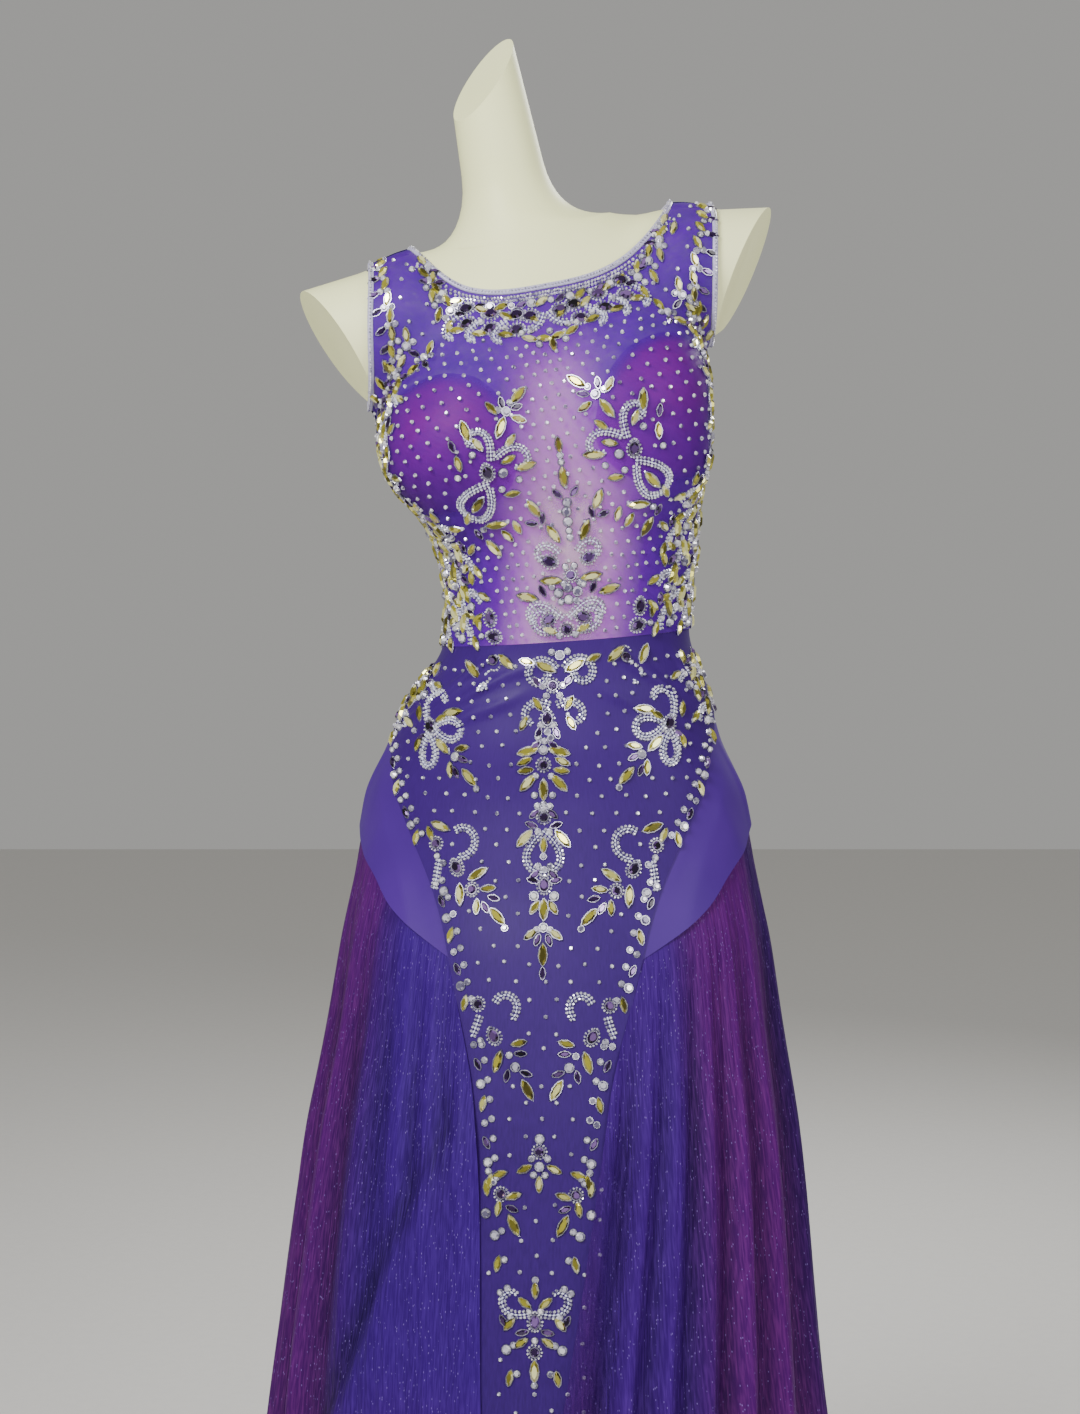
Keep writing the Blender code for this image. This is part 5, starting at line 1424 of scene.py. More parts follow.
neck_line = joined(mirrored(BACK_NECK[1:-1]), FRONT_NECK, BACK_NECK[1:-1])
arm_line = joined(BACK_ARM[::-1], FRONT_ARM[::-1])
bound_edges = [
    ("neck_binding", "neck_edge_binding", neck_line, (0, 0.01, 1.60), False),
    ("armhole_binding_right", "arm_edge_binding_right", arm_line, (0.26, 0.012, 1.36), True),
    ("armhole_binding_left", "arm_edge_binding_left", mirrored(arm_line), (-0.26, 0.012, 1.36), True),
]
bead_lines = []
for node, name, line, towards, closed in bound_edges:
    binding, *bead_line = add_binding(name, line, towards, closed)
    bead_lines.append(bead_line)
    binding.data.materials.append(silver_satin)
    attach(binding, "root")
    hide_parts(node)

# Centre back zip
# A concealed nylon zip of two woven tapes, with a coil of teeth between them and a small enamelled slider at
# the top. It is sewn between the two backs, from the yoke's hem to the neck.

ZIP_END = 0.001
COIL_FOOT = 0.003
COIL_TOP = 0.012
TOOTH_STEP = 0.0018
TOOTH_SIZE = (0.0011, 0.0030, 0.0008)
TAPE_LIFT = 0.0012
TAPE_FOOT = 0.0004
TAPE_CROWN = TAPE_LIFT * 1.2
COIL_LIFT = TAPE_LIFT * 1.15
TAPE_EASE = 0.0003
SLIDER_SIZE = (0.009, 0.0058, 0.0030)
PULL_STRETCH = (2.2, 1.0, 1.0)
PULL_HANG = -0.008
PULL_LIFT = 0.0036


def zip_row(heights, across, lift):
    """Points up the centre back at a distance beside it, over the satin."""
    rows = []
    for surface, base, part in (
        (on_skirt, YOKE_OFF, heights[heights < WAIST]),
        (on_bodice, NET_OFF, heights[heights >= WAIST]),
    ):
        place = zip_side(part, across, surface is on_bodice)
        rows.append(surface(place[:, 0], place[:, 1], np.full(len(part), base + lift)))
    return np.vstack(rows)


# Woven nylon tape: a plain rib of 1.2 mm, matt, dyed with the satin
zip_tape = new_material("woven_zip_tape")
place = add_node(zip_tape, "TexCoord").outputs["Object"]
rib = add_node(
    zip_tape, "TexWave", {"Vector": place, "Scale": 130, "Distortion": 0.4}, bands_direction="Z"
)
finish(
    zip_tape, rib.outputs["Fac"], ("220E50", "341A70"), {"Roughness": 0.65},
    (rib.outputs["Fac"], 0.4, 0.0003),
)

heights = np.linspace(ZIP_FOOT + ZIP_END, BACK_NECK[-1, 1] - ZIP_END, 130)
half = ZIP_WIDE / 2 - TAPE_EASE
profile = ((half, TAPE_FOOT), (half, TAPE_LIFT), (0, TAPE_CROWN), (-half, TAPE_LIFT), (-half, TAPE_FOOT))
rails = [zip_row(heights, across, lift) for across, lift in profile]
tape = add_tube("zip_tape", list(np.stack(rails, axis=1)), False)
tape.data.materials.append(zip_tape)
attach(tape, "root")
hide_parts("zip_back")

# Nylon coil: moulded, with a slight shine
nylon = new_material("moulded_nylon_coil")
place = add_node(nylon, "TexCoord").outputs["Object"]
cloud = add_node(nylon, "TexNoise", {"Vector": place, "Scale": 300})
finish(nylon, cloud.outputs["Fac"], ("28125C", "3C2280"), {"Roughness": 0.35})


def take(piece):
    """A template's points and faces, after which the template is removed."""
    points = np.array([tuple(piece.matrix_world @ v.co) for v in piece.data.vertices])
    faces = [tuple(face.vertices) for face in piece.data.polygons]
    bpy.data.objects.remove(piece)
    return points, faces


def bevelled_block(offset, segments):
    """A template of a moulded block a metre each way, which stands on the ground plane."""
    bpy.ops.mesh.primitive_cube_add(size=1, location=(0, 0, 0.5))
    bpy.ops.object.mode_set(mode="EDIT")
    bpy.ops.mesh.select_all(action="SELECT")
    bpy.ops.mesh.bevel(offset=offset, segments=segments)
    bpy.ops.object.mode_set(mode="OBJECT")
    return take(bpy.context.object)


def strew(name, template, places, material, flat_faces=True):
    """Copies of a small template in one mesh, each facet with a random tone that the glass paints as a
    reflection.

    A place is its point, forward, normal and size."""
    points, faces = template
    all_points, all_faces = [], []
    for i, (at, forward, normal, size) in enumerate(places):
        beside = np.cross(normal, forward)
        axes = np.stack([forward, beside, normal])
        all_points.append(np.asarray(at) + (points * size) @ axes)
        all_faces += [tuple(v + i * len(points) for v in face) for face in faces]
    made = add_object(name, np.vstack(all_points), all_faces)
    # Random tones per stone and per facet, which the glass materials paint as dark and bright reflections
    chance = np.random.default_rng(len(places))
    tones = 0.3 * chance.random(len(places)).repeat(len(faces)) + 0.7 * chance.random(len(all_faces))
    glint_layer = made.data.attributes.new("facet", "FLOAT", "FACE")
    glint_layer.data.foreach_set("value", tones.astype(np.float32))
    if flat_faces:
        made.data.shade_flat()
    made.data.materials.append(material)
    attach(made, "root")


def unit(vectors):
    """Vectors at length one."""
    return vectors / np.linalg.norm(vectors, axis=-1, keepdims=True)


points, faces = bevelled_block(0.22, 1)
tooth = (points * np.array(TOOTH_SIZE), faces)
heights = np.arange(ZIP_FOOT + COIL_FOOT, BACK_NECK[-1, 1] - COIL_TOP, TOOTH_STEP)
line = zip_row(heights, 0.0, COIL_LIFT)
way = unit(np.gradient(line, axis=0))
lifted = unit(zip_row(heights, 0.0, 0.004) - line)
strew("zip_coil", tooth, [(p, w, n, 1.0) for p, w, n in zip(line, way, lifted)], nylon)

# Enamelled slider: a die-cast body, bevelled, with a drop-shaped pull that hangs down the back
slider_enamel = new_material("violet_enamel")
place = add_node(slider_enamel, "TexCoord").outputs["Object"]
wear = add_node(slider_enamel, "TexNoise", {"Vector": place, "Scale": 500, "Detail": 3})
finish(slider_enamel, wear.outputs["Fac"], ("34187A", "4E30A0"), {"Roughness": 0.25, "Coat Weight": 0.5})
points, faces = bevelled_block(0.18, 3)
body = (points * np.array(SLIDER_SIZE), faces)
bpy.ops.mesh.primitive_torus_add(
    major_segments=24, minor_segments=8, major_radius=0.0022, minor_radius=0.0006, location=(0, 0, 0)
)
points, faces = take(bpy.context.object)
pull = (points * np.array(PULL_STRETCH), faces)
top = len(line) - 1
for name, template, along, lift in (("zip_slider", body, 0, 0), ("zip_pull", pull, PULL_HANG, PULL_LIFT)):
    at = line[top] + way[top] * along + lifted[top] * lift
    strew(name, template, [(at, way[top], lifted[top], 1.0)], slider_enamel, False)

# Stones and beads
# Sewn-on faceted glass in silver cups: pale olive marquises, dark amethyst leaves, drops and rounds with
# a halo of small crystals, and clear rounds. Scrolls are two rows of crystals with a line of white
# bugle beads between, and loose rhinestones lie in staggered rows over the bodice and the panel.

STONES = {
    # kind: length, width, height in mm, sides, ends drawn out (front, rear), glass
    "gold_long": (22.5, 8.6, 3.6, 10, (1, 1), "olive"),
    "gold_leaf": (16.0, 7.1, 3.2, 8, (1, 1), "olive"),
    "plum_leaf": (12.5, 5.9, 2.8, 8, (1, 1), "amethyst"),
    "plum_drop": (13.5, 9.8, 3.6, 12, (1, 0), "amethyst"),
    "plum_round": (9.2, 9.2, 3.6, 10, (0, 0), "amethyst"),
    "clear_round": (8.6, 8.6, 3.4, 10, (0, 0), "clear"),
    "clear_small": (6.0, 6.0, 2.6, 8, (0, 0), "clear"),
    "rhinestone": (4.4, 4.4, 2.0, 6, (0, 0), "clear"),
}
SMALL_BEADS = {
    # kind: length, width, height in mm, sides, ends drawn out, width of the flat top
    "crystal": (3.4, 3.4, 2.0, 6, (0, 0), 0.5),
    "bugle": (3.6, 2.0, 1.8, 6, (0, 0), 0.7),
    "edge_bead": (2.2, 2.2, 1.6, 6, (0, 0), 0.6),
}
HALOED = ("plum_drop", "plum_round")
CRYSTAL_STEP = 3.5
SCROLL_HALF = 2.6
HALO_CRYSTAL = 0.8
HALO_GAP = 1.6
DROP_NARROWS = 0.35
CUP_MARGIN = 1.3
CUP_TALL = 0.38
STONE_LIFT = 0.0003
STONE_TILT = 0.05
LOOSE_SHIFT = 0.9
BEAD_STEP = 0.0030


def cut_stone(length, width, height, sides, ends, table=0.55, rim=0.14):
    """A faceted stone drawn from a cone's frustum: ends to points, sides bevelled to a girdle."""
    bpy.ops.mesh.primitive_cone_add(
        vertices=sides, radius1=0.5, radius2=0.5 * table, depth=1.0, location=(0, 0, 0.5)
    )
    stone = bpy.context.object
    bpy.ops.object.mode_set(mode="EDIT")
    bpy.ops.mesh.select_all(action="SELECT")
    bpy.ops.mesh.bisect(plane_co=(0, 0, rim), plane_no=(0, 0, 1))
    bpy.ops.object.mode_set(mode="OBJECT")
    points, faces = take(stone)
    low = points[:, 2] < rim / 2
    points[low, :2] *= 1 - rim * (1 - table)
    ahead, behind = ends
    drawn = np.where(points[:, 0] > 0, ahead, behind)
    reach = np.hypot(points[:, 0], points[:, 1])
    share = np.abs(points[:, 0]) / np.maximum(reach, 1e-6)
    pinch = np.sqrt(np.clip(1 - share**2, 0, 1)) ** 0.8
    points[:, 1] *= np.where(drawn > 0, np.minimum(1, pinch + 0.08), 1)
    return points * np.array([length, width, height]) / 1000, faces


def spin(x, y, angle):
    """A place turned about the origin."""
    return x * math.cos(angle) - y * math.sin(angle), x * math.sin(angle) + y * math.cos(angle)


def run_of(x, y):
    """How far along a line each of its points is."""
    return np.concatenate([[0], np.cumsum(np.hypot(np.diff(x), np.diff(y)))])


def unroll_scroll(length, start_radius, end_radius, heading):
    """Points in mm along a scroll whose bend tightens from one radius to another; minus bends right."""
    steps = max(int(length / CRYSTAL_STEP), 2)
    x, y, way = 0.0, 0.0, math.radians(heading)
    line = []
    for i in range(steps + 1):
        line.append((x, y, way))
        share = i / steps
        bend = (1 - share) / start_radius + share / end_radius
        x += math.cos(way) * CRYSTAL_STEP
        y += math.sin(way) * CRYSTAL_STEP
        way += bend * CRYSTAL_STEP
    return line


def petal(length, width, heading):
    """Points in mm round a closed petal loop, its point at the origin."""
    around = np.linspace(0, 2 * math.pi, 200)
    x = length / 2 * (1 - np.cos(around))
    y = width / 2 * np.sin(around) * np.sin(around / 2) ** 0.8
    run = run_of(x, y)
    at = np.linspace(0, run[-1], int(run[-1] / CRYSTAL_STEP), endpoint=False)
    px, py = np.interp(at, run, x), np.interp(at, run, y)
    ways = np.arctan2(np.roll(py, -1) - py, np.roll(px, -1) - px)
    turned = math.radians(heading)
    return [(*spin(a, b, turned), way + turned) for a, b, way in zip(px, py, ways)]


# Ornaments, drawn in mm about their middle: x away from centre front, y up. A stone is (kind, x, y,
# heading), a scroll ("scroll", x, y, heading, length, start_radius, end_radius) and a loop
# ("petal", x, y, heading, length, width).
ORNAMENTS = {
    "candle": (
        ("gold_leaf", 0, 30, 90), ("clear_small", 0, 20.5, 0), ("clear_small", 0, 14.5, 0),
        ("gold_long", 0, 1, 90), ("plum_leaf", 7.5, -13, 48), ("clear_round", 0, -22, 0),
    ),
    "branches": (
        ("clear_round", 0, 14, 0), ("clear_round", 0, 5, 0), ("gold_long", 29, 22, 62),
        ("plum_leaf", 22, 11, 100), ("plum_leaf", 32, 8, 15), ("gold_long", 14, -4, 62),
        ("clear_small", 0, -3, 0), ("clear_small", 0, -9, 0), ("gold_leaf", 45, 6, 70),
        ("gold_leaf", 55, -2, 55),
    ),
    "mask": (
        ("plum_drop", 18, 1, 18), ("plum_round", 0, -13, 0), ("gold_long", 18, -16, 6),
        ("clear_small", 7, -20, 0), ("clear_small", 4, -5, 0), ("scroll", 9, 8, 55, 34, -16, -5),
    ),
    "cluster": (
        ("clear_round", 0, 3, 0), ("clear_round", 8.5, -1, 0), ("clear_round", 0, -7.5, 0),
        ("clear_small", 14, 5, 0), ("clear_small", 7, -9, 0), ("gold_long", 38, -2, 14),
        ("plum_leaf", 23, 2, 65),
    ),
    "waist_scrolls": (
        ("scroll", 3, -2, 38, 52, 60, -5), ("scroll", 10, -14, -8, 44, 30, 5.5),
        ("plum_drop", 15, -3, 150), ("plum_round", 0, -13, 0), ("gold_leaf", 15, -13, 20),
        ("clear_small", 7, -18, 0),
    ),
    "waist_drops": (
        ("plum_drop", 0, 8, 80), ("plum_drop", -3, -9, 15), ("gold_leaf", 13, 4, 78),
        ("clear_small", 10, -8, 0),
    ),
    "bust": (
        ("plum_drop", 3, 6, 80), ("scroll", -2, 17, 98, 62, 400, -5),
        ("scroll", -7, 19, 152, 56, 80, 6), ("petal", 4, -5, -58, 44, 36), ("gold_long", 16, -26, -56),
        ("gold_long", -44, 80, 138), ("clear_round", -27, 62, 0), ("plum_leaf", -24, 74, 95),
        ("plum_leaf", -39, 65, 165), ("gold_leaf", -38, 51, 205), ("gold_leaf", -12, 70, 62),
        ("gold_long", -17, 46, -58), ("clear_small", -34, 72, 0), ("clear_small", -18, 66, 0),
        ("gold_long", 18, 49, 78), ("gold_leaf", 8, 33, 60), ("clear_small", 14, 24, 0),
        ("gold_leaf", -18, 14, 165), ("gold_leaf", -24, 31, 140), ("gold_long", -34, 5, 176),
        ("clear_round", -11, 3, 0), ("gold_leaf", -17, -18, 182), ("clear_small", -25, -6, 0),
        ("clear_small", -8, -12, 0), ("gold_leaf", 28, 18, 80), ("plum_leaf", 33, 36, 70),
        ("gold_long", 2, -49, 172), ("gold_long", 12, -72, 48), ("clear_small", 17, -56, 0),
        ("gold_leaf", 30, -44, 110), ("plum_leaf", 24, -62, 60), ("clear_small", 30, 4, 0),
    ),
    "festoon_middle": (
        ("scroll", 2, 8, -62, 26, 30, 9), ("plum_drop", 14, 9, 5), ("gold_leaf", 6, -15, 12),
        ("gold_leaf", 19, -13, 24), ("clear_small", 12, -20, 0), ("clear_small", 0, -9, 0),
        ("gold_leaf", 0, -22, 90), ("clear_small", 25, -6, 0),
    ),
    "festoon": (
        ("plum_drop", 0, 9, 4), ("plum_drop", 3, -6, -10), ("gold_leaf", -13, 3, 40),
        ("scroll", 10, 4, -20, 30, -40, -5), ("clear_small", -10, -9, 0), ("gold_leaf", 13, -9, 15),
    ),
    "strap": (
        ("clear_round", 0, 0, 0), ("gold_leaf", 0, 10, 80), ("plum_leaf", -7, -6, 200),
        ("clear_small", 6, -5, 0), ("clear_small", -6, 4, 0), ("gold_leaf", 5, -14, -60),
    ),
    "vine": (
        ("scroll", -8, -10, 70, 34, -30, -5.5), ("gold_long", 8, 4, 80), ("gold_leaf", -8, 13, 120),
        ("clear_round", 5, -10, 0), ("clear_small", 13, -9, 0), ("plum_leaf", 2, 15, 60),
        ("clear_small", -3, -2, 0), ("gold_leaf", -13, -8, 230),
    ),
    "twig": (
        ("gold_leaf", 0, 6, 80), ("clear_small", 0, -3, 0), ("plum_leaf", 5, -9, -50),
        ("clear_small", -6, 0, 0),
    ),
    "band": (
        ("scroll", 4, -9, 52, 64, -17, -7), ("clear_round", 0, 2, 0), ("clear_small", 7, 5, 0),
        ("gold_long", 13, -8, 28), ("gold_leaf", 30, -2, 20), ("plum_round", 63, 0, 0),
        ("gold_long", 51, 0, 40), ("scroll", 70, -6, -30, 26, -14, -5), ("gold_long", 86, 0, 60),
    ),
    "link": (
        ("clear_small", 0, 0, 0), ("clear_small", 5.5, 3, 0), ("plum_leaf", 8, -4, -40),
    ),
    "crown": (
        ("plum_round", 0, 4, 0), ("clear_small", 9, 4, 0), ("clear_small", 6, -5, 0),
        ("plum_leaf", 14, 8, 50), ("scroll", 4, -13, 22, 40, -26, -6), ("gold_leaf", 14, -12, 58),
    ),
    "pendant": (
        ("plum_drop", 0, 4, 90), ("gold_leaf", 21, 0, -62), ("plum_leaf", 8, -9, -70),
        ("clear_small", 0, -8, 0), ("clear_small", 6, -2, 0),
    ),
    "fan": (
        ("gold_long", 14, 9, -14), ("gold_leaf", 17, 0, -24), ("clear_round", 0, 10, 0),
        ("plum_round", 0, -3, 0), ("gold_leaf", 16, -8, -8), ("gold_long", 14, -19, -46),
        ("clear_small", 7, -13, 0), ("gold_long", 0, -25, 90), ("clear_small", 8, -30, 0),
        ("clear_small", 0, -38, 0),
    ),
    "heart": (
        ("plum_round", 0, 9, 0), ("plum_leaf", 11, 2, 20), ("gold_long", 17, -10, -48),
        ("petal", 0, -4, -90, 36, 38), ("gold_leaf", 0, -16, 90), ("clear_small", 0, -26, 0),
        ("clear_small", 5, -4, 0),
    ),
    "drop": (
        ("plum_drop", 0, 2, 90), ("plum_leaf", 10, 6, 15), ("clear_round", 9, -8, 0),
        ("gold_leaf", 8, -18, -58), ("gold_long", 0, -20, 90), ("clear_round", 0, -36, 0),
        ("clear_small", 6, -38, 0), ("gold_leaf", 11, -42, -38), ("plum_leaf", 5, -47, -70),
        ("gold_long", 0, -60, 90), ("plum_leaf", 0, -76, 90),
    ),
    "hip": (
        ("plum_drop", 0, 0, 60), ("scroll", 5, 7, 70, 46, 30, 7), ("petal", -5, 0, 186, 30, 22),
        ("petal", 0, -6, 262, 30, 19), ("gold_long", -24, 14, 172), ("gold_leaf", -12, 8, 150),
        ("plum_leaf", 8, -10, -30), ("gold_leaf", 12, -16, -75), ("gold_long", -17, -17, 218),
        ("gold_leaf", 16, 12, 80), ("clear_round", -32, -26, 0), ("gold_leaf", -38, -18, 165),
        ("plum_leaf", -40, -28, 200), ("gold_leaf", -28, -38, 262), ("plum_leaf", -34, -40, 240),
        ("gold_long", -49, -44, 222), ("clear_small", -58, -54, 0), ("clear_small", 6, -24, 0),
        ("clear_small", 20, -4, 0),
    ),
    "slope": (
        ("scroll", -4, 24, 150, 50, 11, 17), ("plum_round", 15, 11, 0), ("gold_long", 12, 27, 18),
        ("gold_leaf", 22, 20, 62), ("plum_drop", -7, -9, 55), ("clear_small", 6, -6, 0),
        ("clear_small", 13, 0, 0), ("scroll", 10, -4, -80, 26, -60, 30), ("gold_long", -28, -14, 145),
        ("gold_long", -13, -33, 262), ("plum_round", -24, -28, 0), ("gold_leaf", -39, -26, 170),
        ("plum_leaf", -45, -34, 190), ("gold_leaf", -30, -43, 268), ("plum_leaf", -38, -43, 235),
        ("gold_long", -50, -50, 222), ("clear_round", 3, -31, 0), ("clear_small", -58, -60, 0),
    ),
    "curl": (
        ("plum_round", 8, 11, 0), ("scroll", -8, 14, 120, 40, 9, 15),
        ("scroll", 6, 0, -75, 20, 200, 30), ("plum_drop", -8, -16, 58), ("gold_leaf", -31, -21, 165),
        ("gold_long", -13, -38, 285), ("clear_small", -23, -32, 0), ("plum_leaf", -33, -30, 180),
        ("clear_round", -29, -42, 0), ("plum_leaf", -39, -47, 195), ("plum_leaf", -22, -50, 280),
        ("gold_long", -41, -61, 238), ("clear_small", 2, -24, 0),
    ),
    "bee": (
        ("clear_round", 0, 15, 0), ("plum_round", 0, 4, 0), ("gold_leaf", 13, -11, -26),
        ("clear_small", 7, -2, 0), ("clear_round", 0, -9, 0), ("gold_leaf", 0, -24, 90),
        ("clear_small", 5, -16, 0),
    ),
    "sprig": (
        ("gold_leaf", -2, 14, 160), ("gold_leaf", 9, 2, 84), ("clear_small", 3, 7, 0),
        ("plum_round", -4, -3, 0), ("gold_leaf", -15, -4, 162), ("gold_leaf", -2, -15, 280),
        ("plum_leaf", -14, -15, 200), ("gold_long", -16, -29, 242), ("clear_round", 9, -20, 0),
        ("clear_small", 8, 16, 0),
    ),
    "lily": (
        ("gold_leaf", 0, 31, 90), ("clear_small", 0, 40, 0), ("gold_leaf", 9, 20, 40),
        ("clear_small", 5, 13, 0), ("scroll", 6, 11, -12, 46, 40, 5.5), ("plum_drop", 0, 4, 90),
        ("plum_leaf", 11, -5, -10), ("gold_leaf", 22, 2, -50), ("gold_leaf", 12, -14, -32),
        ("clear_small", 0, -12, 0), ("plum_round", 0, -22, 0), ("gold_long", 0, -38, 90),
        ("clear_small", 0, -50, 0),
    ),
}

# Where ornaments lie above the waist; a row off centre front is on both sides
BODICE_ORNAMENTS = (
    # ornament, turn, rise, heading
    ("festoon_middle", 0.0, 1.3475, 0.0),
    ("festoon", 17.0, 1.3495, 8.0),
    ("festoon", 31.0, 1.3530, 12.0),
    ("festoon", 44.0, 1.3595, 22.0),
    ("strap", 53.0, 1.364, 30.0),
    ("strap", 58.0, 1.371, 40.0),
    ("strap", 63.0, 1.380, 60.0),
    ("strap", 67.0, 1.392, 60.0),
    ("candle", 0.0, 1.196, 0.0),
    ("branches", 0.0, 1.153, 0.0),
    ("mask", 0.0, 1.124, 0.0),
    ("cluster", 0.0, 1.097, 0.0),
    ("waist_scrolls", 0.0, 1.076, 0.0),
    ("waist_drops", 44.0, 1.070, 0.0),
    ("bust", 29.0, 1.206, 0.0),
    ("strap", 64.0, 1.332, 0.0),
    ("strap", 68.0, 1.310, 20.0),
    ("strap", 57.0, 1.320, -30.0),
)
SIDE_VINES = (
    # turn, first_rise, last_rise, count, first_heading
    (58.0, 1.068, 1.170, 4, 20.0),
    (66.0, 1.084, 1.290, 7, -25.0),
    (76.0, 1.066, 1.268, 7, 15.0),
    (87.0, 1.080, 1.240, 6, -10.0),
    (99.0, 1.070, 1.230, 5, 20.0),
    (168.0, 1.090, 1.340, 6, 10.0),
)
NECK_ROW_DROP = 0.0035
NECK_ROW_END = 72
NECK_SECOND_ROW = (1.8, -3.2)
NECK_THIRD_ROW = (0, -8.5)
NECK_STONES = ("clear_small", "plum_leaf", "clear_round", "gold_leaf")
BACK_FESTOONS = (100.0, 116.0, 132.0, 148.0, 164.0)
FESTOON_DROP = 0.012
TWIG_INSET = 3.0
TWIG_DROP = 0.002

# Where ornaments lie on the panel
PANEL_ORNAMENTS = (
    # ornament, turn, height, heading
    ("band", 0.0, 1.038, 0.0),
    ("crown", 0.0, 1.009, 0.0),
    ("pendant", 0.0, 0.980, 0.0),
    ("link", 0.0, 0.9640, 0.0),
    ("fan", 0.0, 0.946, 0.0),
    ("link", 0.0, 0.9035, 0.0),
    ("heart", 0.0, 0.888, 0.0),
    ("link", 0.0, 0.8510, 0.0),
    ("drop", 0.0, 0.836, 0.0),
    ("hip", 47.0, 0.976, 0.0),
    ("slope", 28.0, 0.860, 0.0),
    ("curl", 14.5, 0.724, 0.0),
    ("bee", 0.0, 0.608, 0.0),
    ("sprig", 9.5, 0.578, 0.0),
    ("lily", 0.0, 0.464, 0.0),
    ("sprig", 6.5, 0.350, 0.0),
    ("bee", -1.0, 0.330, 0.0),
    ("lily", 0.0, 0.200, 0.0),
    ("sprig", 5.0, 0.110, 0.0),
    ("strap", 72.0, 1.020, 30.0),
    ("vine", 64.0, 1.016, 30.0),
    ("vine", 82.0, 1.018, -20.0),
    ("vine", 70.0, 0.985, 10.0),
    ("twig", 84.0, 0.992, 0.0),
)
TRAIL_INSET = 2.2
TRAIL_STONES = (("gold_leaf", 100), ("clear_round", 0), ("plum_leaf", 60), ("clear_small", 0))
TRAIL = (
    # first_height, last_height, count
    (0.585, 0.700, 8),
    (0.735, 0.835, 8),
    (0.875, 0.962, 9),
    (0.420, 0.540, 6),
)

# A stone is set down from this far off the cloth, and the cloth is looked for this far down
SET_FROM = 0.008
SET_REACH = 0.012
CLOTH_PIECES = {
    "bodice": ("net_front", "bodice_rear_left", "bodice_rear_right"),
    "panel": ("beaded_panel", "satin_wing_left", "satin_wing_right", "satin_rear_left", "satin_rear_right"),
}


def tree_of(pieces):
    """A search tree over the faces of some pieces."""
    points, faces = [], []
    for piece in pieces:
        start = len(points)
        points += [v.co.copy() for v in piece.data.vertices]
        faces += [tuple(start + i for i in face.vertices) for face in piece.data.polygons]
    return BVHTree.FromPolygons(points, faces)


trees = {
    region: tree_of([piece for piece in bpy.data.objects if piece.name in names])
    for region, names in CLOTH_PIECES.items()
}
surfaces = {"bodice": (on_net, NET_OFF + CLOTH), "panel": (on_skirt, PANEL_OFF + CLOTH)}
laid = {kind: [] for kind in (*STONES, "crystal", "bugle")}
uneven = np.random.default_rng(7)


def grounds(region, turns, rises):
    """Middles, across and up directions and normals of places on the gown."""
    surface, off = surfaces[region]
    offs = np.full(len(turns), off)
    here = surface(turns, rises, offs)
    across = unit(surface(turns + 0.5, rises, offs) - here)
    normal = unit(np.cross(across, unit(surface(turns, rises + 0.001, offs) - here)))
    return here, across, np.cross(normal, across), normal


def ground(region, turn, rise):
    """Middle, across and up directions and normal of one place on the gown."""
    return [part[0] for part in grounds(region, np.array([turn]), np.array([rise]))]


def settle(region, point, normal):
    """The nearest place on the cloth's outer side and its normal, turned to face out."""
    near, out, _, _ = trees[region].find_nearest(Vector(point))
    out = out if out @ Vector(normal) > 0 else -out
    found, face, _, _ = trees[region].ray_cast(near + out * SET_FROM, -out, SET_REACH)
    if found is None:
        return np.array(near), np.array(out)
    return np.array(found), np.array(face if face @ out > 0 else -face)


def lay(kind, region, base, x, y, way, size=1.0):
    """Puts one stone or bead on the cloth at a place in mm from an ornament's middle."""
    here, across, up, normal = base
    at, out = settle(region, here + (across * x + up * y) / 1000, normal)
    out = unit(out + uneven.normal(0, STONE_TILT, 3))
    forward = across * math.cos(way) + up * math.sin(way)
    forward = unit(forward - out * (forward @ out))
    laid[kind].append((at, forward, out, size))


def halo(kind, region, base, x, y, way):
    """A ring of small crystals round a stone."""
    length, width = STONES[kind][0] / 2 + HALO_GAP, STONES[kind][1] / 2 + HALO_GAP
    count = int(2 * math.pi * math.sqrt((length**2 + width**2) / 2) / (CRYSTAL_STEP * HALO_CRYSTAL))
    for angle in np.arange(count) * 2 * math.pi / count:
        narrow = 1 - DROP_NARROWS * max(0.0, math.cos(angle)) if kind == "plum_drop" else 1
        off_x, off_y = spin(length * math.cos(angle), width * math.sin(angle) * narrow, way)
        lay("crystal", region, base, x + off_x, y + off_y, way, HALO_CRYSTAL)


def row_of(region, base, line, x, y, spun, side):
    """A scroll or loop: an even row of crystals on both sides of a line of bugle beads."""
    px, py, way = np.array(line).T
    way = np.unwrap(way)
    px, way = px * side, way if side > 0 else math.pi - way
    for kind, off in (("crystal", SCROLL_HALF), ("crystal", -SCROLL_HALF), ("bugle", 0)):
        a, b = px - np.sin(way) * off, py + np.cos(way) * off
        run = run_of(a, b)
        for at in np.arange(0, run[-1] + 0.4, CRYSTAL_STEP):
            off_x, off_y = spin(np.interp(at, run, a), np.interp(at, run, b), spun)
            lay(kind, region, base, x + off_x, y + off_y, np.interp(at, run, way) + spun)


